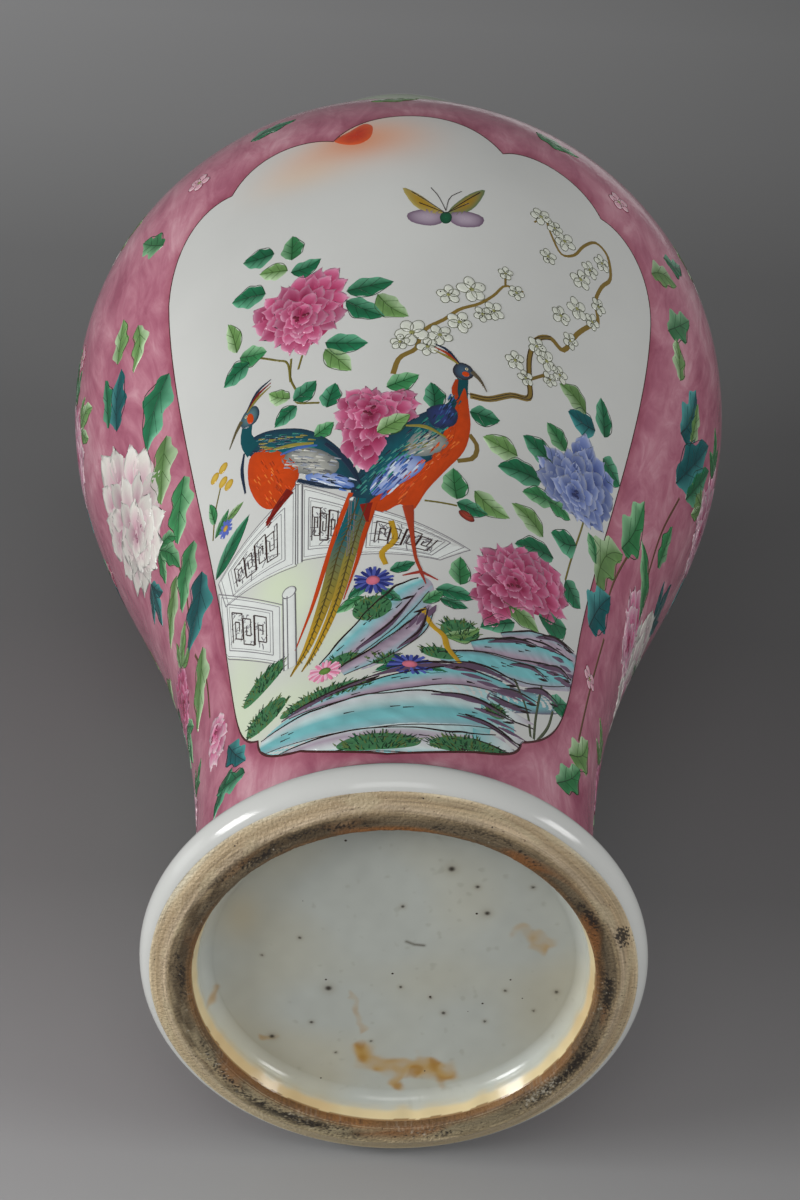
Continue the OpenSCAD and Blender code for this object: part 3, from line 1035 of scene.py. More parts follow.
def petal(root, tip, width, tones, coat):
    """A petal from root to tip: half widths w (sin(pi t^1.5))^0.6, widest near the tip, frilled
    at its lip, dark at the root and pale round its margin."""
    root, tip = np.array(root, float), np.array(tip, float)
    axis = tip - root
    side = np.array([-axis[1], axis[0]]) / (np.hypot(*axis) + 1e-9)
    t = np.array([0.0, 0.2, 0.4, 0.58, 0.74, 0.87, 0.96, 1.0])[:, None]
    v = ACROSS[None, :]
    half = width / 2 * np.sin(np.pi * np.clip(t, 0.03, 0.985) ** 1.5) ** 0.6
    reach = t * (1 - 0.16 * v ** 2 + 0.07 * np.sin(5 * v + hand.uniform(0, TURN)))
    u = root[0] + reach * axis[0] + half * v * side[0]
    s = root[1] + reach * axis[1] + half * v * side[1]
    pale = np.clip(0.95 * t ** 1.4 + 0.35 * np.abs(v) ** 3, 0, 1)
    place = pale * (len(tones) - 1)
    shade = np.stack([np.interp(place, np.arange(len(tones)), np.array(tones)[:, k])
                      for k in range(3)], -1)
    shade = shade * (1 + 0.10 * np.sin(9 * v + hand.uniform(0, TURN)) * (1 - t))[..., None]
    lift = coat * LAYER + 0.03 * np.ones(u.shape)
    lift[-1] = lift[0] = -0.01
    lift[:, [0, -1]] = -0.01
    return [dict(u=u, s=s, lift=lift, colour=np.clip(shade, 0, 1), wrap=False)]


ROSE_TONES = (tint(120, 26, 56), tint(158, 52, 90), tint(182, 92, 126), tint(204, 148, 172))
PINK_TONES = (tint(150, 50, 84), tint(190, 100, 136), tint(208, 156, 176), tint(218, 196, 200))
BLUE_TONES = (tint(46, 56, 108), tint(82, 98, 150), tint(120, 134, 180), tint(176, 184, 204))
WHITE_TONES = (tint(176, 120, 140), tint(200, 176, 180), tint(212, 208, 200), tint(216, 216, 208))


def peony(outline, heart, tones, long=7.0, coat=4, rows=6):
    """A full flower: a dark ground, then rows of frilled petals that point away from the
    heart and shorten toward it, drawn inside an uneven outline."""
    outline, heart = np.array(outline, float), np.array(heart, float)
    ring = through(np.vstack([outline, outline[:1]]), 1 + 8 * len(outline))[:-1]
    marks = blot(heart + 0.86 * (outline - heart), tones[1], coat - 1, tones[1] * 0.9, mottle=0.08)
    girth = np.hypot(*(np.roll(ring, -1, 0) - ring).T).sum()
    for row in range(rows):
        reach = 1 - row / (rows + 0.4)
        count = max(5, int(girth * reach / (0.62 * long)))
        start = hand.uniform(0, 1)
        for k in range(count):
            edge_point = ring[int((k + start) / count * len(ring)) % len(ring)]
            out = (edge_point - heart) * reach * hand.uniform(0.93, 1.05)
            size = long * hand.uniform(0.8, 1.2) * (0.75 + 0.25 * reach)
            share = max(0.0, 1 - size / (np.hypot(*out) + 1e-9))
            lean = hand.normal(0, 0.10) * size
            root = heart + share * out + lean * np.array([-out[1], out[0]]) / (np.hypot(*out) + 1e-9)
            deep = hand.uniform(0.68, 1.08)
            marks += petal(root, heart + out, size * hand.uniform(0.62, 0.85),
                           [np.clip(tone * deep, 0, 1) for tone in tones], coat + row * 0.7)
    for _ in range(5):
        spot = heart + hand.normal(0, 0.12 * long, 2)
        marks += blot(oval(spot, 1.2, 1.0, 0, 6), tones[0] * 0.7, coat + rows, rings=2)
    return marks


def rosette(middle, wide, high, points=9):
    """An uneven round outline for a flower, as a list of points."""
    turn = TURN * np.arange(points) / points + hand.normal(0, 0.06, points)
    reach = hand.uniform(0.86, 1.08, points)
    return np.stack([middle[0] + wide / 2 * reach * np.cos(turn),
                     middle[1] + high / 2 * reach * np.sin(turn)], 1)


CREAM = (tint(196, 200, 186), tint(208, 210, 202))
TWIG_LINE = tint(84, 88, 66)


def blossom(middle, size, tones=CREAM, coat=5, line=TWIG_LINE):
    """A small open flower: five round petals, each edged with a fine line, about a yellow
    heart with a few dark stamens."""
    marks = []
    start = hand.uniform(0, TURN)
    middle = np.array(middle, float)
    for k in range(5):
        way = start + TURN * k / 5 + hand.normal(0, 0.12)
        out = np.array([np.cos(way), np.sin(way)])
        cup = oval(middle + 0.52 * size * out, size * hand.uniform(0.8, 1.0), 0.72 * size, way, 8)
        marks += blot(cup, tones[0], coat, tones[1], rings=3)
        marks += contour(cup, 0.2, line, coat + 1)
    marks += blot(oval(middle, 0.34 * size, 0.3 * size, 0, 6), tint(134, 136, 84), coat + 2, rings=2)
    for k in range(3):
        marks += blot(oval(middle + hand.normal(0, 0.3 * size, 2), 0.35, 0.35, 0, 6), INK, coat + 3,
                      rings=2)
    return marks


def aster(middle, wide, high, tones, heart, coat=6, rays=22):
    """A daisy-like flower of narrow rays about a flat heart."""
    marks = []
    for k in range(rays):
        way = TURN * k / rays + hand.normal(0, 0.05)
        out = np.array([wide * np.cos(way), high * np.sin(way)]) / 2 * hand.uniform(0.85, 1.05)
        marks += stroke([tuple(middle + 0.2 * out), tuple(middle + out)], (0.4, 1.1, 0.7),
                        tones[k % len(tones)], coat + (k % 3) * 0.5, 6)
    marks += blot(oval(middle, 0.34 * wide, 0.34 * high), heart, coat + 3, heart * 0.6, rings=3)
    return marks

# ---------------------------------------------------------------------------
# The rocks and ground at the foot of the picture: pierced garden rocks in
# turquoise and lilac wash with dark brush contours, moss, and small flowers.
# ---------------------------------------------------------------------------
TURQUOISE, LILAC = tint(110, 174, 178), tint(160, 146, 160)
PALE_ROCK = tint(196, 206, 204)
PLUM = tint(96, 76, 96)
MOSS = (tint(26, 72, 44), tint(58, 104, 68), tint(84, 104, 54))


def ridge(points, width, tones, jag=0.0, coat=2):
    """A ledge of rock: one broad stroke whose wash changes across it, a dark contour along
    its upper edge, broken by small cracks, and pointed plum shadows at its end."""
    count = 30
    path = through(points, count)
    way = np.gradient(path, axis=0)
    way /= np.linalg.norm(way, axis=1)[:, None]
    half = spread(width, count)[:, None] / 2
    normal = np.stack([-way[:, 1], way[:, 0]], 1)
    marks = stroke(points, width, TURQUOISE, coat, count, across=tones)
    top = path + normal * half * (0.98 + 0.05 * hand.normal(0, 1, (count, 1)))
    low = path - normal * half * 0.98
    marks += stroke(top[::2], (0.3, 0.6, 0.35, 0.7, 0.3), INK, coat + 3, 40)
    marks += stroke(low[::3], (0.15, 0.3, 0.2), INK * 1.5, coat + 3, 30)
    for _ in range(int(len(points) * 1.6)):
        k = hand.integers(3, 26)
        spot = path[k] + normal[k] * half[k] * hand.uniform(-0.6, 0.6)
        marks += stroke([spot, spot + way[k] * hand.uniform(1, 2.6)], (0.4, 0.1), INK, coat + 4, 4)
    if jag:
        for k in range(4):
            at = 22 + 2 * k
            root = path[at] + normal[at] * half[at] * (0.8 - 0.5 * k)
            marks += stroke([root - way[24] * 3, root, root + way[24] * jag], (0.4, 1.6, 0.2), PLUM,
                            coat + 3, 8)
    return marks


def moss(middle, wide, high, count, lean=0.0, coat=4):
    """A cushion of moss: a soft green oval bristling with fine dark strokes."""
    marks = blot(oval(middle, wide, high, lean), MOSS[1], coat, MOSS[1] * 1.2, mottle=0.10)
    for k in range(count):
        way, out = hand.uniform(0, TURN), np.sqrt(hand.uniform())
        across, up = out * wide / 2 * np.cos(way), out * high / 2 * np.sin(way)
        spot = np.array(middle) + np.array([across * np.cos(lean) - up * np.sin(lean),
                                            across * np.sin(lean) + up * np.cos(lean)])
        head = np.pi / 2 - 1.1 * across / wide * 2 + hand.normal(0, 0.3)
        tip = spot + 1.5 * np.array([np.cos(head), np.sin(head)])
        marks += stroke([spot, tip], (0.45, 0.12), (MOSS[0], MOSS[0] * 0.5, MOSS[2])[k % 3],
                        coat + 1 + (k % 3) * 0.3, 4)
    return marks


rocks = blot([(-37, 43), (-30, 46), (-20, 47), (-10, 50), (0, 53), (10, 57), (20, 60), (26, 59), (28, 52),
              (22, 42), (20, 34), (12, 28), (-4, 25), (-18, 28), (-30, 34), (-37, 38)], PALE_ROCK, 1,
             TURQUOISE, mottle=0.05)
rocks += blot([(8, 58), (16, 66), (24, 73), (34, 80), (44, 85), (51, 87), (51, 77), (46, 72), (38, 66),
               (28, 60), (18, 58)], TURQUOISE, 1, LILAC, mottle=0.06)
rocks += blot([(-20, 57), (-14, 66), (-8, 74), (-2, 82), (4, 87), (7, 84), (6, 76), (3, 68), (-2, 60),
               (-10, 55)], TURQUOISE, 1, LILAC, mottle=0.06)
rocks += blot([(19, 51), (23, 57), (31, 61), (39, 65), (43, 63), (38, 58), (31, 53), (24, 49)], TURQUOISE, 1,
              PLUM, mottle=0.06)
rocks += ridge([(-32, 33), (-18, 32), (0, 31), (14, 32), (25, 38)], (4, 7, 9, 9, 6),
              (TURQUOISE, PALE_ROCK, LILAC, PALE_ROCK))
rocks += ridge([(-36, 41), (-24, 40.5), (-10, 41), (6, 43), (18, 45), (27, 45)], (5, 9, 12, 12, 9, 5),
               (LILAC, TURQUOISE, TURQUOISE * 0.9, PALE_ROCK, LILAC), 5, 3)
rocks += ridge([(-28, 46.5), (-14, 48), (0, 51.5), (12, 55.5), (26, 57)], (1.6, 3.6, 5.5, 6, 4),
               (PLUM, LILAC, TURQUOISE, TURQUOISE), 5, 4)
rocks += ridge([(8, 61), (18, 63), (29, 66), (38, 71), (46, 76)], (3, 6, 7, 6, 3),
               (LILAC, TURQUOISE, TURQUOISE, PLUM), 3, 3)
rocks += ridge([(16, 67), (26, 71), (37, 76), (49, 81)], (3, 7, 8, 5),
               (PLUM, LILAC, TURQUOISE, TURQUOISE * 0.9), 2, 4)
rocks += ridge([(24, 74), (33, 79), (42, 83), (49, 85)], (2, 4, 4, 2), (LILAC, LILAC, TURQUOISE), 0, 5)
rocks += ridge([(-20, 58), (-13, 64), (-6, 72), (0, 80), (5, 85)], (4, 8, 9, 8, 4),
               (TURQUOISE, LILAC, TURQUOISE, PALE_ROCK), 0, 3)
rocks += ridge([(-15, 56), (-6, 61), (2, 69), (6, 77)], (3, 5, 5, 2), (TURQUOISE, LILAC, PLUM), 2, 4)
for points, wide in (([(-30, 46), (-18, 49), (-6, 53)], 1.6), ([(-8, 53), (4, 57), (14, 59)], 2.2),
                     ([(10, 58.6), (18, 60.5), (28, 60)], 2.4), ([(20, 52), (26, 52), (32, 54)], 2.2),
                     ([(6, 47.5), (16, 49), (27, 47)], 1.6), ([(12, 42), (20, 42), (30, 38.5)], 1.5),
                     ([(22, 55), (27, 57), (34, 58)], 2.4), ([(30, 60), (36, 64), (42, 64)], 2.0),
                     ([(26, 66), (32, 69), (38, 69)], 1.4), ([(36, 72), (42, 76), (47, 76)], 1.8),
                     ([(20, 70), (28, 75), (34, 77)], 1.6), ([(34, 80), (40, 84), (48, 86)], 1.6),
                     ([(-12, 62), (-4, 70), (2, 80)], 1.8), ([(-2, 62), (3, 68), (5, 76)], 1.6)):
    run = np.array(points, float)
    rocks += stroke(run, (0.3, wide, 0.6 * wide, 0.2), PLUM * 0.8, 7)
    rocks += stroke(run + (0.4, 0.5 * wide), (0.1, 0.6, 0.7, 0.1), INK, 8)
    rocks += stroke([run[-1], run[-1] - (3.2, 1.6)], (0.2, 0.9, 0.2), INK, 8)
for points in ([(16, 37), (24, 37), (31.5, 34)], [(18, 43.5), (25, 42.5), (32, 41)],
               [(18, 48.5), (26, 49), (33, 51)]):
    rocks += stroke(points, (5, 4, 0.3), (TURQUOISE, PALE_ROCK, LILAC), 3)
    rocks += stroke(np.array(points) - (0, 1.6), (0.2, 0.5, 0.3), INK, 8)
for middle, wide, high, count, lean in (
        ((-36, 63), 15, 6, 90, 0.5), ((-35, 51), 13, 7, 90, 0.4), ((-19, 49.5), 24, 5, 120, 0.16),
        ((-6, 30.5), 20, 6, 120, 0.0), ((15, 32.5), 20, 6, 120, 0.2), ((-8, 76), 10, 8, 50, 0.4),
        ((-15, 60), 8, 4, 36, 0.3), ((-5, 59), 8, 4, 36, 0.0), ((8, 62), 9, 4, 36, 0.0),
        ((13, 71), 10, 7, 60, 0.2), ((22, 48), 6, 5, 30, 0.5)):
    rocks += moss(middle, wide, high, count, lean)
picture("garden_rocks", rocks)

small_flowers = aster((-8, 85), 10, 9, (tint(36, 44, 104), tint(70, 80, 150)), tint(206, 110, 130))
small_flowers += aster((1, 57), 11, 7, (tint(36, 44, 104), tint(76, 88, 160)), tint(206, 110, 130))
small_flowers += aster((-19, 57.5), 9, 7, (tint(206, 120, 150), tint(222, 170, 188)), tint(96, 130, 60))
small_flowers += aster((-50, 120), 5, 5, (tint(80, 96, 170),), tint(190, 150, 60), rays=10)
small_flowers += stroke([(4, 76), (6, 71), (9, 68), (10, 64), (13, 60)], (1.6, 1.3, 1.7, 1.2), OCHRE, 7)
small_flowers += stroke([(-4, 104), (-3, 98), (-6, 94), (-5, 90)], (1.5, 1.8, 1.3), OCHRE, 5)
small_flowers += leaf((-54, 108), (-42, 119), 5.5, "dark") + leaf((-54, 120), (-49, 125), 3, "mid")
small_flowers += leaf((-54, 124), (-56, 131), 3, "mid") + leaf((-50, 122), (-44, 124), 2.5, "light")
for middle in ((-54, 137), (-51, 134), (-51, 138), (-49, 132)):
    small_flowers += blot(oval(middle, 3.2, 2.6, 0.4, 8), tint(190, 160, 70), 5, OCHRE)
small_flowers += stem([(-55, 120), (-54, 127), (-52, 133)], 0.6)
for base, tip, tone in (
        ((-8, 85), (-14, 80), "dark"), ((-6, 82), (-1, 78), "dark"), ((-10, 80), (-17, 76), "mid"),
        ((-4, 88), (2, 91), "dark"), ((1, 57), (-7, 55), "dark"), ((1, 57), (10, 56), "dark"),
        ((4, 78), (9, 83), "mid"), ((8, 80), (15, 79), "dark")):
    small_flowers += leaf(base, tip, 3.6, tone, lobes=0.1)
picture("garden_flowers", small_flowers)

# ---------------------------------------------------------------------------
# The balustrade: white boards between red-brown posts that run back on a
# slant, framed with fine double lines and pierced with a key pattern.
# ---------------------------------------------------------------------------
RAIL_LINE = tint(112, 110, 114)
BOARD = tint(206, 210, 206)


def within(corners, across, up):
    """The point at shares across and up a four-cornered board, from its lower left."""
    low_left, low_right, high_right, high_left = np.array(corners, float)
    return ((1 - up) * ((1 - across) * low_left + across * low_right)
            + up * ((1 - across) * high_left + across * high_right))


def board_with_fret(corners, keys):
    """A white board of four corners, framed by nested fine lines, with a row of square key
    figures drawn inside the inner frame."""
    marks = blot(corners, BOARD, 1, bent=False, rings=4)
    for inset, wide in ((0.0, 0.26), (0.045, 0.16), (0.14, 0.24), (0.18, 0.14)):
        ring = [within(corners, *place) for place in
                ((inset, inset), (1 - inset, inset), (1 - inset, 1 - inset), (inset, 1 - inset),
                 (inset, inset))]
        marks += ruled(ring, wide, RAIL_LINE, 3)
    for k in range(keys):
        left = 0.22 + 0.56 * k / keys
        cell = 0.52 / keys
        turns = [(0, 0), (0, 1), (1, 1), (1, 0.15), (0.3, 0.15), (0.3, 0.7), (0.7, 0.7), (0.7, 0.4)]
        if k % 2:
            turns = [(1 - a, 1 - b) for a, b in turns]
        line = [within(corners, left + cell * a, 0.26 + 0.48 * b) for a, b in turns]
        marks += ruled(line, 0.3, INK * 2.2, 5)
    for _ in range(20 * keys):
        spot = within(corners, hand.uniform(0.22, 0.78), hand.uniform(0.25, 0.75))
        marks += stroke([spot, spot + hand.normal(0, 0.9, 2)], 0.24, RAIL_LINE, 4, 4)
    return marks


def post(foot, head, wide):
    """A square post with a rounded knob."""
    foot, head = np.array(foot, float), np.array(head, float)
    marks = stroke([foot, head], wide, BOARD, 5, 6)
    for share in (-0.5, -0.15, 0.5):
        shift = np.array([share * wide, 0])
        marks += stroke([foot + shift, head + shift], 0.34, RAIL_LINE * 0.8, 7, 6)
    knob = oval(head + (0, 0.3 * wide), wide * 1.1, wide)
    return marks + blot(knob, BOARD, 6) + contour(knob, 0.3, RAIL_LINE * 0.8, 7)


balustrade = board_with_fret([(-13, 94), (8, 92.6), (15.5, 98), (-13.4, 110.6)], 4)
balustrade += board_with_fret([(-26, 96.5), (-15, 94.5), (-13.9, 111.7), (-26.6, 120)], 3)
balustrade += board_with_fret([(-50, 97), (-27.5, 95.5), (-28, 120.5), (-53, 106)], 4)
balustrade += board_with_fret([(-51, 82), (-30.2, 65), (-31, 85), (-53, 103)], 3)
balustrade += post((-26.9, 96), (-27.6, 121), 1.7)
balustrade += post((-13.8, 94), (-13.6, 111.5), 1.4)
balustrade += post((-28.2, 63), (-29.3, 87), 3.4)
picture("balustrade", balustrade)

# ---------------------------------------------------------------------------
# Branches, leaves and flowers of the picture: a blossoming branch at the top
# and four peonies, three rose and one blue, among leaves of four greens.
# ---------------------------------------------------------------------------
branches = stroke([(-4.5, 150), (-3, 155), (1, 158), (2, 162), (4, 165), (8, 168), (12, 172), (17, 175),
                   (21, 179), (24, 183), (29, 183)], (1.6, 1.3, 1.0, 0.6), tint(118, 98, 46), 2)
branches += stroke([(24, 183), (24, 187)], 0.7, tint(110, 92, 46), 2)
branches += stroke([(15, 146), (20, 146.5), (26, 150), (31, 151.5), (31, 157), (31, 164), (33, 170),
                    (37, 172.5), (41, 171), (45, 178), (49, 183), (52, 186), (51, 192), (53, 198),
                    (56, 203), (55, 210), (51, 212), (47, 208), (44, 203), (40, 201), (37, 206),
                    (35, 211), (32, 208)], (2.0, 1.7, 1.3, 1.0, 0.6), tint(118, 98, 46), 2)
branches += stroke([(31, 157), (36, 161)], 1.0, tint(110, 92, 46), 2)
branches += stroke([(15, 134), (17, 131), (16, 127), (12, 125)], 1.4, tint(110, 92, 46), 2)
for shift in ((0.6, -0.4), (-0.6, 0.4)):
    branches += stroke([(15 + shift[0], 146 + shift[1]), (20, 146.5 + shift[1]), (26, 150 + shift[1]),
                        (31 + shift[0], 151.5), (31 + shift[0], 157), (31 + shift[0], 164),
                        (33 + shift[0], 170), (37, 172.5 + shift[1])], 0.25, INK, 4)
for points in ([(-40, 164), (-35, 161), (-32, 159), (-31, 153)], [(-28, 160), (-29, 156)],
               [(-31, 160), (-31, 154), (-29, 149), (-29, 146), (-23, 144)],
               [(44, 105), (46, 113), (49, 123), (50, 127)], [(4, 111), (12, 111)]):
    branches += stem(points, 0.7)
for points in ([(32, 46), (31, 54), (27, 63)], [(33, 46), (34, 55), (36, 66)],
               [(34, 46), (38, 54), (40, 61)]):
    branches += stem(points, 0.9, tint(70, 78, 56))
picture("branches", branches)

leaves = []
for base, tip, width, tone in (
        ((-37, 195), (-46, 196), 6.4, "dark"), ((-32, 191), (-32, 199), 6.4, "mid"),
        ((-33, 188), (-41, 190), 5.4, "light"), ((-32, 187), (-24, 189), 5.6, "dark"),
        ((-39, 183), (-49, 185), 6.8, "dark"), ((-47, 169), (-50, 179), 4.6, "light"),
        ((-46, 167), (-38, 165), 6.2, "mid"), ((-43, 164), (-51, 161), 6.6, "dark"),
        ((-17, 177), (-5, 179), 6.4, "dark"), ((-9, 175), (-1, 168), 6.6, "light"),
        ((-17, 174), (-7, 168), 6.2, "dark"), ((-22, 162), (-11, 160), 6.6, "dark"),
        ((-22, 160), (-15, 152), 6.0, "light"), ((-30, 147), (-24, 151), 6.2, "dark"),
        ((-31, 148), (-37, 152), 4.4, "light"), ((-29, 145), (-35, 141), 5.4, "dark"),
        ((-21, 142), (-19, 149), 5.8, "dark"), ((-24, 134), (-19, 137), 5.0, "mid"),
        ((-6, 146), (2, 150), 5.8, "mid"), ((6, 140), (5, 148), 5.8, "dark"),
        ((15, 141), (23, 141), 6.2, "dark"), ((28, 132.5), (18.5, 134.5), 7.2, "light"),
        ((35, 128.5), (22.5, 127), 7.4, "dark"), ((38.5, 136), (29.5, 139.5), 7.4, "dark"),
        ((42.5, 142), (36.5, 147), 6.4, "mid"), ((49, 157), (40, 160.5), 6.6, "light"),
        ((52.5, 154.5), (43, 154), 8.0, "teal"), ((56, 155), (54, 165), 6.6, "dark"),
        ((56, 149), (64, 147), 7.6, "dark"), ((12, 113), (11, 122.5), 7.0, "mid"),
        ((16.5, 117), (26, 112.5), 6.8, "light"), ((12, 112), (20, 111), 5.4, "dark"),
        ((36, 112.5), (26.5, 117.5), 6.6, "light"), ((39, 124.5), (29.5, 122.5), 5.6, "mid"),
        ((37.5, 124), (45, 123.5), 5.8, "mid"), ((39.5, 108.5), (27.5, 105.5), 6.8, "dark"),
        ((47.5, 118), (38.5, 115.5), 7.4, "dark"), ((56, 119), (52, 125), 6.6, "mid"),
        ((44, 105), (50.5, 101.5), 8.4, "dark"), ((35, 87.5), (45, 91), 9.6, "dark"),
        ((24.5, 85.5), (35, 82.5), 7.4, "light"), ((27.5, 80.5), (18, 74), 5.4, "dark"),
        ((13, 86), (13, 95), 5.6, "mid"), ((7, 83), (17, 83), 5.4, "dark"),
        ((9, 68), (18, 73.5), 5.4, "light"), ((40, 62), (46, 68), 6, "dark")):
    leaves += leaf(base, tip, width, tone, bend=hand.normal(0, 0.06), lobes=0.09)
picture("leaves", leaves)

peonies = peony([(-43, 178), (-39, 181), (-33, 184.5), (-25, 187), (-19, 185.5), (-17, 179), (-15.5, 172),
                 (-19, 165.5), (-25, 160.5), (-30, 160.5), (-36, 165), (-41, 171)], (-29, 172),
                ROSE_TONES, 8, rows=5)
peonies += peony([(-19, 142), (-17, 146), (-11, 147), (-6, 145), (-1, 146), (3, 144), (3, 138), (-3, 133),
                  (-6, 128), (-10.5, 120.5), (-14.5, 122.5), (-16.5, 128), (-19, 135)], (-9, 138),
                 ROSE_TONES, 7, rows=4)
peonies += leaf((-8, 132), (0, 137.5), 6, "light", coat=10, lobes=0.1)
peonies += peony([(16, 95), (18, 100), (24, 104.5), (31, 107), (37, 107), (43, 106), (45.5, 101), (44, 93),
                  (36, 86.5), (26, 83), (20, 75.5), (16, 79), (15, 87)], (28, 93), ROSE_TONES, 8, rows=5)
peonies += peony([(32, 133), (35.5, 139), (41, 142), (46, 146.5), (50, 151.5), (54, 149), (60.5, 146),
                  (61, 139), (59.5, 131), (52, 125.5), (44, 124.5), (36.5, 126)], (46, 132),
                 BLUE_TONES, 8, rows=5)
picture("peonies", peonies)

blossoms = []
for middle, size in (((0, 163), 4.5), ((7, 163), 3.4), ((9, 176), 3.2), ((15, 179), 4), ((21, 174), 3),
                     ((12, 168), 3.5), ((24, 187), 2.2), ((34, 211), 3.2), ((41, 206), 3.4),
                     ((46, 196), 3.4), ((49, 201), 2.8), ((45, 186), 3.4), ((40, 181), 3),
                     ((50, 185), 2.6), ((27, 161), 3), ((36, 165), 3.2), ((40, 163), 2.6),
                     ((33, 168), 2.8), ((4, 159), 3), ((-3, 160), 2.6), ((18, 172), 2.6),
                     ((27, 182), 2.4), ((53, 206), 2.8), ((38, 209), 2.6), ((52, 191), 2.6),
                     ((37, 160), 2.4), ((43, 175), 2.6), ((30, 157), 2.4), ((36, 198), 2.6)):
    blossoms += blossom(middle, size)
blossoms += blot(oval((14.5, 108.5), 4.5, 2.6, -0.5), tint(150, 60, 46), 5, tint(80, 26, 20))
picture("branch_blossom", blossoms)

# ---------------------------------------------------------------------------
# The sun behind its sunset wash, and a butterfly.
# ---------------------------------------------------------------------------
sky = blot([(-22, 234.5), (-18, 238), (-14, 242), (-11.5, 240), (-12, 234), (-15, 231), (-19, 231.5)],
           tint(178, 50, 24), 3, tint(196, 84, 44), mottle=0.05)
butterfly = blot([(-3.5, 211.5), (0.5, 209.5), (5, 205.5), (7.5, 203), (4, 202.4), (-0.5, 205)],
                 OCHRE * 0.8, 3, tint(150, 140, 84))
butterfly += blot([(18.5, 214.5), (14.5, 212), (10, 206.5), (8.5, 203), (12, 203.4), (16, 207.5)],
                  OCHRE * 0.7, 3, tint(84, 110, 80))
butterfly += blot([(7.5, 203), (3, 204), (-2, 202), (-1, 199), (4, 198), (7.5, 200)], LILAC, 3, PLUM)
butterfly += blot([(8.5, 203), (13, 205), (18, 204), (17, 200.5), (12, 199), (9, 200.5)], LILAC, 3, PLUM)
butterfly += blot(oval((8, 201.5), 3.2, 4.4, -0.2), tint(24, 84, 56), 5, tint(20, 60, 44))
for end in ((-1, 210), (1, 206), (17, 213), (14, 208)):
    butterfly += stroke([(8, 203), end], (0.2, 0.35), INK, 5, 8)
butterfly += stroke([(8, 204), (9, 209), (12, 212)], 0.2, INK, 5)
butterfly += stroke([(8, 204), (6, 209), (4, 212)], 0.2, INK, 5)
picture("sun_and_butterfly", sky + butterfly)

# ---------------------------------------------------------------------------
# The two pheasants, laid in with flat colours and then feathered with short
# strokes: the hen on the balustrade at the left, the cock perched beside her.
# ---------------------------------------------------------------------------
TEAL, SEA_BLUE = tint(16, 84, 92), tint(70, 104, 170)
FLAME, BLOOD = tint(184, 64, 14), tint(108, 24, 12)
STEEL = tint(130, 136, 146)
DUSK = tint(30, 44, 62)


def feathers(start, end, wide, count, tones, length=3.0, coat=6, droop=0.0):
    """Rows of short tapering strokes laid between two points, all pointing back."""
    marks = []
    start, end = np.array(start, float), np.array(end, float)
    way = (end - start) / np.linalg.norm(end - start)
    side = np.array([-way[1], way[0]])
    for k in range(count):
        share, off = hand.uniform(), hand.uniform(-0.5, 0.5)
        root = start + share * (end - start) + off * wide * side
        tip = root + length * (way + droop * side)
        marks += stroke([tuple(root), tuple(tip)], (0.35 * length ** 0.5, 0.2 * length, 0.1),
                        tones[k % len(tones)], coat + (k % 4) * 0.3, 5)
    return marks


def eye(middle):
    """A bird's eye: a dark middle in a pale ring."""
    return (blot(oval(middle, 0.8, 0.8, 0, 6), tint(214, 206, 170), 9)
            + blot(oval(middle, 0.45, 0.45, 0, 6), INK, 10))


hen = stroke([(-43, 147), (-43.5, 142), (-41, 137.5)], (3.4, 3.8, 5), TEAL * 0.7, 4)
hen += blot([(-43, 141), (-39, 141.5), (-33, 140), (-26, 137), (-20, 132), (-14, 124), (-11, 116),
             (-15, 116.5), (-21, 119), (-27, 124), (-34, 130), (-41, 135), (-43.5, 138)], TEAL, 4, DUSK,
            mottle=0.06)
hen += blot([(-33, 131), (-28, 132), (-22, 129.5), (-17, 124), (-19, 120.5), (-26, 123), (-31, 127)],
            tint(158, 158, 150), 6, tint(96, 100, 100), mottle=0.10)
hen += blot([(-26, 123), (-20, 122), (-15, 119), (-13, 115.5), (-18, 117), (-24, 119.5)],
            tint(150, 164, 200), 6, SEA_BLUE, mottle=0.08)
hen += blot([(-42.5, 135.5), (-39, 136.8), (-34.5, 134.5), (-29, 128.5), (-27.5, 124), (-29.5, 119.5),
             (-34.5, 116.5), (-39, 120), (-42.5, 128)], FLAME, 6, FLAME * 0.85, mottle=0.05)
hen += feathers((-40, 133), (-33, 120), 7, 40, (FLAME * 0.7, FLAME * 1.15, tint(206, 104, 40)), 1.8, 8)
hen += feathers((-41, 139), (-25, 132.5), 5, 60, (TEAL, tint(40, 112, 100), DUSK, OLIVE), 2.2, 8)
hen += feathers((-31, 130), (-19, 124), 6, 50, (tint(180, 180, 172), STEEL, tint(90, 92, 94)), 2.0, 9)
hen += feathers((-24, 122), (-15, 117), 4, 30, (tint(190, 200, 214), SEA_BLUE, DUSK), 2.2, 9)
hen += stroke([(-35, 134.5), (-30, 133.5), (-24, 132)], (0.6, 1.3, 0.7), OLIVE * 1.2, 9)
hen += stroke([(-33, 132), (-28, 132), (-23, 131)], (0.5, 1.1, 0.5), SEA_BLUE * 0.8, 9)
hen += stroke([(-21, 131), (-16, 125), (-11.5, 116)], (0.8, 1.6, 0.6), DUSK, 9)
hen += stroke([(-28, 122), (-21, 118), (-12, 114.5)], (1.2, 1.6, 0.6), DUSK, 9)
hen += stroke([(-44, 138), (-44.6, 133), (-43.4, 126)], (0.5, 1.2, 0.5), DUSK, 8)
hen += stroke([(-30, 120), (-34, 116), (-36.5, 112.5)], (3, 2.2, 0.8), BLOOD, 7)
hen += feathers((-31, 119), (-36, 113), 2, 12, (BLOOD * 0.6, BLOOD * 1.6), 1.6, 9)
hen += blot([(-45.5, 147.5), (-44, 150), (-41, 150.5), (-39.6, 148), (-40.5, 145.5), (-44, 145)],
            tint(84, 116, 120), 6, DUSK)
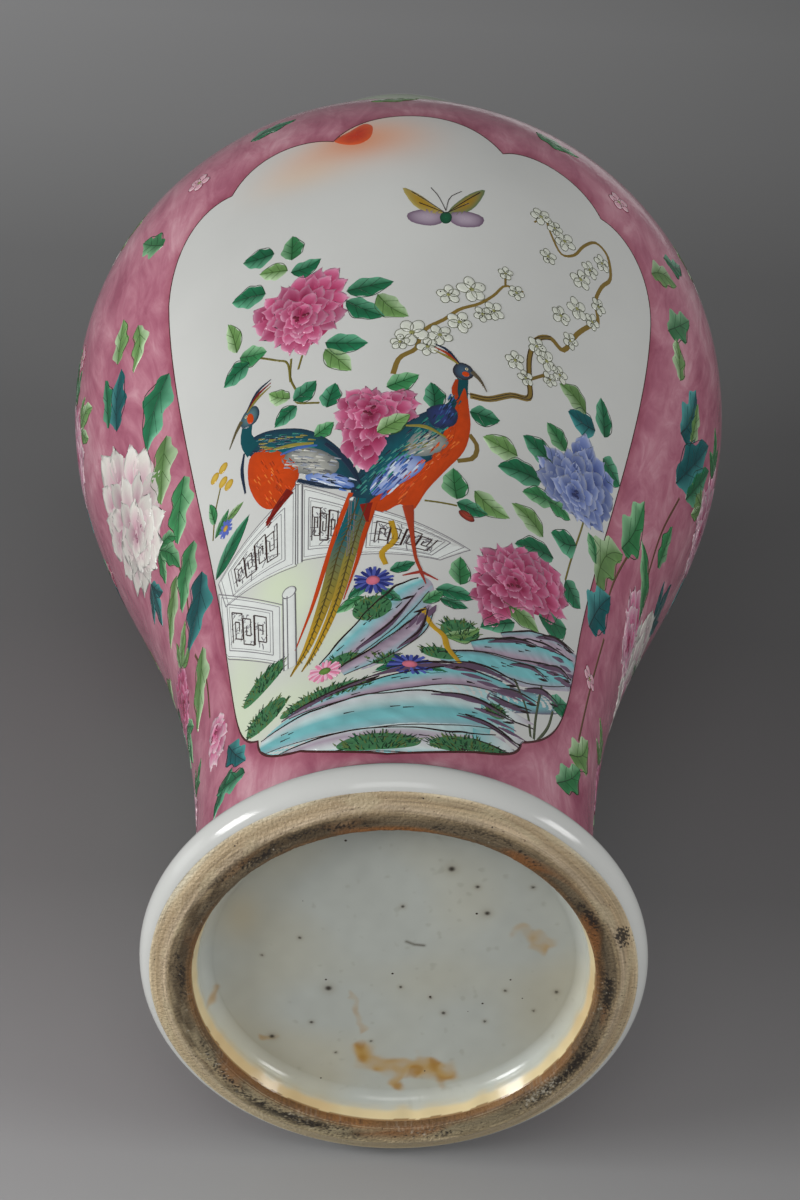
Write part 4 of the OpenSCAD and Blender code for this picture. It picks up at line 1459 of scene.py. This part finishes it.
hen += blot(oval((-42.3, 147.2), 2.0, 3.4, 0.3), FLAME, 8)
hen += eye((-43.6, 148.4))
hen += stroke([(-45, 147.8), (-46.8, 145.6), (-48.8, 142)], (1.5, 1.0, 0.2), tint(84, 76, 50), 8)
for rise, tone in ((0, OLIVE), (1.0, BLOOD), (2.0, DUSK)):
    hen += stroke([(-43.5, 149.5), (-40.5, 152 + rise), (-36.5, 154 + rise)], (0.8, 0.9, 0.2), tone, 7)
picture("hen_pheasant", hen)

long_tail = [(-12, 112), (-14, 104), (-16.5, 96), (-18.5, 86), (-21, 76), (-24, 67), (-28, 60)]
short_tail = [(-10, 110), (-12, 102), (-14, 93), (-16, 83), (-18.5, 74), (-22, 65), (-25, 60)]
cock = stroke([(-14, 114), (-17, 104), (-20, 92), (-23, 80), (-27, 68)], (1.4, 1.5, 1.2, 0.3), FLAME * 0.9, 5)
cock += stroke(long_tail, (4.2, 4.6, 4.4, 3.6, 2.6, 0.4), (TEAL, TEAL, OLIVE, OCHRE, OCHRE), 6, 40)
cock += stroke(short_tail, (3.0, 3.4, 3.2, 2.6, 1.8, 0.3), (TEAL, OLIVE, OCHRE, OCHRE * 1.1), 7, 40)
cock += stroke([(-8, 110), (-10.5, 100), (-12, 92), (-15, 80)], (1.4, 1.4, 1.0, 0.2), FLAME * 0.8, 8)
for line, wide in ((long_tail, 1.9), (short_tail, 1.4)):
    rib = through(line, 61)
    cock += stroke(line, (0.3, 0.4, 0.2), tint(70, 60, 30), 9)
    for k in range(6, 56, 2):
        for way in (-1, 1):
            cock += stroke([rib[k], rib[k] + (way * wide * (1 - k / 75), -1.3)], (0.3, 0.12),
                           tint(84, 76, 34), 9, 4)
cock += stroke([(13, 153), (13, 148), (12.2, 143), (10, 138)], (3.2, 3.0, 4.4, 7.5), TEAL * 0.6, 4)
cock += blot([(3, 138.5), (9, 141.5), (13, 139), (12, 132), (8, 126), (3, 121), (-3, 114.5), (-8, 110.5),
              (-12.5, 108), (-14.5, 113), (-12.5, 120), (-8, 128), (-3, 134)], TEAL, 4, DUSK, mottle=0.05)
cock += blot([(14, 149), (15, 142), (15.4, 136), (13.8, 128.5), (9, 121), (4.5, 114), (1, 107), (-2, 109),
              (-6.5, 106.5), (-10, 109.5), (-6, 113), (0, 116.5), (5.5, 122.5), (10.5, 130), (12, 137),
              (12.6, 144)], FLAME, 5, FLAME * 0.82, mottle=0.05)
cock += feathers((12.5, 134), (-3, 111.5), 4, 60, (FLAME * 0.75, FLAME * 1.15, tint(204, 100, 40)), 1.8, 7)
cock += feathers((8, 137), (-11, 115), 6, 110, (TEAL, tint(36, 116, 100), DUSK, tint(60, 130, 120)), 2.2, 7)
cock += blot([(2, 132.5), (7, 133), (10, 130), (6, 125.5), (0, 124.5), (-1, 128)], tint(150, 154, 146), 7,
             tint(100, 110, 110), mottle=0.08)
cock += blot([(-1, 125.5), (4, 124), (3, 120), (-2, 115.5), (-8, 112), (-9.5, 115), (-6, 121)],
             tint(164, 176, 206), 7, SEA_BLUE, mottle=0.08)
cock += feathers((1, 124), (-7, 113.5), 5, 46, (tint(190, 200, 214), SEA_BLUE, tint(50, 60, 120)), 2.6, 9)
cock += feathers((7, 131), (0, 126), 4, 30, (tint(180, 182, 172), STEEL, OLIVE), 1.8, 9)
cock += blot([(4, 139.5), (9, 142), (12, 140), (11, 135.5), (6, 134)], tint(46, 56, 104), 8, DUSK,
             mottle=0.08)
cock += stroke([(-1, 134), (4, 134), (9, 131.5)], (0.5, 1.2, 0.5), OLIVE * 1.1, 10)
cock += feathers((12, 145), (8, 137), 4, 34, (SEA_BLUE * 0.7, DUSK, TEAL), 1.6, 9)
cock += stroke([(11.6, 150), (11, 146.5), (12, 143)], (0.8, 1.8, 0.8), FLAME * 0.7, 9)
cock += stroke([(-10, 110), (-9.5, 104)], (4, 1.2), BLOOD * 1.2, 8)
cock += stroke([(0, 109), (1, 101), (2, 93), (3.5, 88)], (3.0, 1.3, 0.9, 0.9), tint(150, 56, 30), 7)
for toe in ((-1, 86.4), (7.5, 86), (4.6, 84.2)):
    cock += stroke([(3.4, 88), toe], (1.0, 0.3), tint(140, 50, 40), 8, 5)
cock += blot([(10.4, 153), (12, 155.5), (15, 155), (16, 152.5), (14, 150.3), (11.4, 150.6)],
             tint(60, 84, 104), 6, INK)
cock += blot(oval((13.8, 152.2), 2.0, 1.6), FLAME, 8)
cock += eye((14, 153.8))
cock += stroke([(15.4, 153.4), (17.6, 151.4), (19.4, 148.4)], (1.5, 1.0, 0.2), tint(84, 76, 60), 8)
for rise, tone in ((0, OLIVE * 1.1), (1.0, FLAME * 0.6), (2.0, DUSK)):
    cock += stroke([(12, 155), (9, 156.6 + rise), (5.6, 158 + rise)], (0.8, 0.8, 0.2), tone, 7)
picture("cock_pheasant", cock)

# ---------------------------------------------------------------------------
# The flowers strewn over the rose ground, between and round the panels, and
# the fine dark line that closes each panel.
# ---------------------------------------------------------------------------
def panel_edge_line():
    """The panel's outline as a line of enamel, 0.45 mm wide, a little bolder at the foot."""
    outline = panel_outline()
    way = np.roll(outline, -1, 0) - np.roll(outline, 1, 0)
    way /= np.linalg.norm(way, axis=1)[:, None]
    half = 0.24 + 0.22 * np.exp(-((outline[:, 1] - 26) / 22) ** 2)
    across = np.array([-1, -0.6, 0.6, 1.0])[:, None]
    u = outline[:, 0] + way[:, 1] * half * across
    s = outline[:, 1] - way[:, 0] * half * across
    lift = np.full(u.shape, 0.07)
    lift[[0, -1]] = DIP
    return [dict(u=u, s=s, lift=lift, colour=np.broadcast_to(tint(70, 34, 34), u.shape + (3,)),
                 wrap=True)]


def strewn(middle, wide, high, tones, around):
    """A flower of the ground with leaves set about it: each leaf is a heading in degrees, how
    long it is, and its tone."""
    marks = []
    middle = np.array(middle, float)
    for heading, long, tone in around:
        way = np.array([np.cos(np.radians(heading)), np.sin(np.radians(heading))])
        root = middle + way * (wide, high) * 0.42
        for turn, share in ((0, 1), (0.7, 0.7), (-0.7, 0.75)):
            lean = np.array([way[0] * np.cos(turn) - way[1] * np.sin(turn),
                             way[0] * np.sin(turn) + way[1] * np.cos(turn)])
            marks += leaf(root, root + lean * long * share, 0.42 * long * share, tone,
                          bend=hand.normal(0, 0.08), lobes=0.16)
    return marks + peony(rosette(middle, wide, high), middle - (0, 0.12 * high), tones, 0.36 * wide,
                         rows=3)


sprays = panel_edge_line()
for base, tip, width, tone in (
        ((-71, 178), (-83, 165), 14, "dark"), ((-73, 162), (-78, 147), 12, "light"),
        ((-66, 146), (-71, 131), 11, "mid"), ((-63, 126), (-72, 113), 10, "mid"),
        ((-60, 115), (-70, 100), 13, "teal"), ((-73, 124), (-85, 114), 8, "light"),
        ((-99, 183), (-93, 196), 11, "teal"), ((-104, 188), (-103, 201), 7, "dark"),
        ((-95, 199), (-91, 210), 8, "light"), ((-84, 202), (-87, 190), 7, "light"),
        ((-61, 94), (-67, 74), 9, "light"), ((-48, 52), (-41, 41), 6, "teal"),
        ((-41, 37), (-53, 40), 6, "dark"), ((-46, 43), (-54, 33), 5, "dark"),
        ((92, 184), (98, 202), 10, "teal"), ((88, 196), (84, 206), 7, "light"),
        ((68, 133), (77, 153), 10, "mid"), ((90, 131), (79, 144), 9, "mid"),
        ((57, 114), (69, 132), 10, "light"), ((55, 100), (65, 117), 10, "teal"),
        ((47, 53), (58, 68), 8, "light"), ((41, 38), (53, 54), 7, "mid"),
        ((72, 218), (84, 225), 7, "light"), ((80, 205), (91, 219), 8, "mid"),
        ((78, 231), (87, 239), 6, "dark"), ((-74, 222), (-83, 232), 7, "mid"),
        ((-46, 250), (-33, 256), 7, "dark"), ((34, 256), (47, 251), 7, "mid"),
        ((-12, 262), (1, 268), 7, "light")):
    sprays += leaf(base, tip, width, tone, bend=hand.normal(0, 0.10), coat=4, lobes=0.26)
sprays += peony(rosette((86, 124), 22, 26), (84, 120), PINK_TONES, 9, rows=3)
sprays += peony(rosette((-54, 59), 10, 17), (-54, 62), PINK_TONES, 7, rows=2)
GROUND_BUD = (tint(206, 150, 166), tint(216, 196, 200))
for middle, size in (((57, 86), 3.4), ((60, 238), 4), ((-62, 240), 4)):
    sprays += blossom(middle, size, GROUND_BUD, line=tint(120, 50, 70))
for points in ([(-80, 178), (-84, 164), (-80, 150)], [(-74, 132), (-69, 118), (-68, 106)],
               [(-58, 70), (-60, 84), (-66, 96)], [(62, 108), (66, 122), (74, 138)],
               [(64, 104), (58, 84), (52, 62)]):
    sprays += stem(points, 0.8, tint(96, 70, 50))
lay("front_ground_sprays", sprays, enamel, FRONT)
lay("back_ground_sprays", sprays, enamel, BACK, -1)

side_flowers = []
for middle, wide, high, tones, around in (
        ((13, 160), 42, 56, WHITE_TONES, ((255, 14, "teal"), (290, 14, "mid"))),
        ((-4, 216), 34, 28, PINK_TONES,
         ((40, 16, "mid"), (150, 16, "light"), (200, 14, "teal"), (330, 14, "light"))),
        ((2, 96), 20, 22, ROSE_TONES, ((40, 12, "light"), (160, 12, "dark"), (270, 14, "mid"))),
        ((-4, 58), 15, 15, PINK_TONES, ((20, 10, "mid"), (120, 10, "teal"), (250, 10, "dark"))),
        ((-34, 254), 28, 24, ROSE_TONES, ((30, 14, "dark"), (130, 12, "mid"), (200, 12, "teal"))),
        ((34, 262), 24, 20, WHITE_TONES, ((70, 12, "mid"), (180, 12, "dark"), (330, 12, "light")))):
    side_flowers += strewn(middle, wide, high, tones, around)
for middle, size in (((20, 228), 4), ((-22, 184), 4), ((4, 34), 3.4), ((0, 282), 4)):
    side_flowers += blossom(middle, size, GROUND_BUD, line=tint(120, 50, 70))
lay("left_ground_flowers", side_flowers, enamel, -np.pi / 2)
side_flowers = []
for middle, wide, high, tones, around in (
        ((-8, 128), 34, 48, WHITE_TONES, ((80, 16, "teal"), (250, 12, "dark"))),
        ((-6, 196), 34, 32, PINK_TONES, ((30, 14, "mid"), (210, 14, "teal"), (330, 14, "light"))),
        ((-2, 70), 18, 22, ROSE_TONES, ((40, 12, "light"), (160, 12, "dark"), (270, 12, "mid"))),
        ((-32, 252), 28, 24, ROSE_TONES, ((30, 14, "dark"), (130, 12, "mid"), (200, 12, "teal"))),
        ((34, 258), 24, 20, WHITE_TONES, ((70, 12, "mid"), (180, 12, "dark"), (330, 12, "light")))):
    side_flowers += strewn(middle, wide, high, tones, around)
for base, tip, width, tone in (((25, 172), (19, 200), 13, "teal"), ((17, 176), (12, 198), 9, "dark"),
                               ((28, 188), (33, 200), 7, "light"), ((12, 150), (16, 164), 7, "mid")):
    side_flowers += leaf(base, tip, width, tone, coat=4, lobes=0.24)
side_flowers += stem([(20, 172), (19, 156), (14, 140)], 1.0, tint(96, 66, 50))
lay("right_ground_flowers", side_flowers, enamel, np.pi / 2, -1)

# ---------------------------------------------------------------------------
# The last look: the sizes before and after.
# ---------------------------------------------------------------------------
size = {"cad": [list(corner) for corner in cad_box],
        "visual": [list(corner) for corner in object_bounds()]}
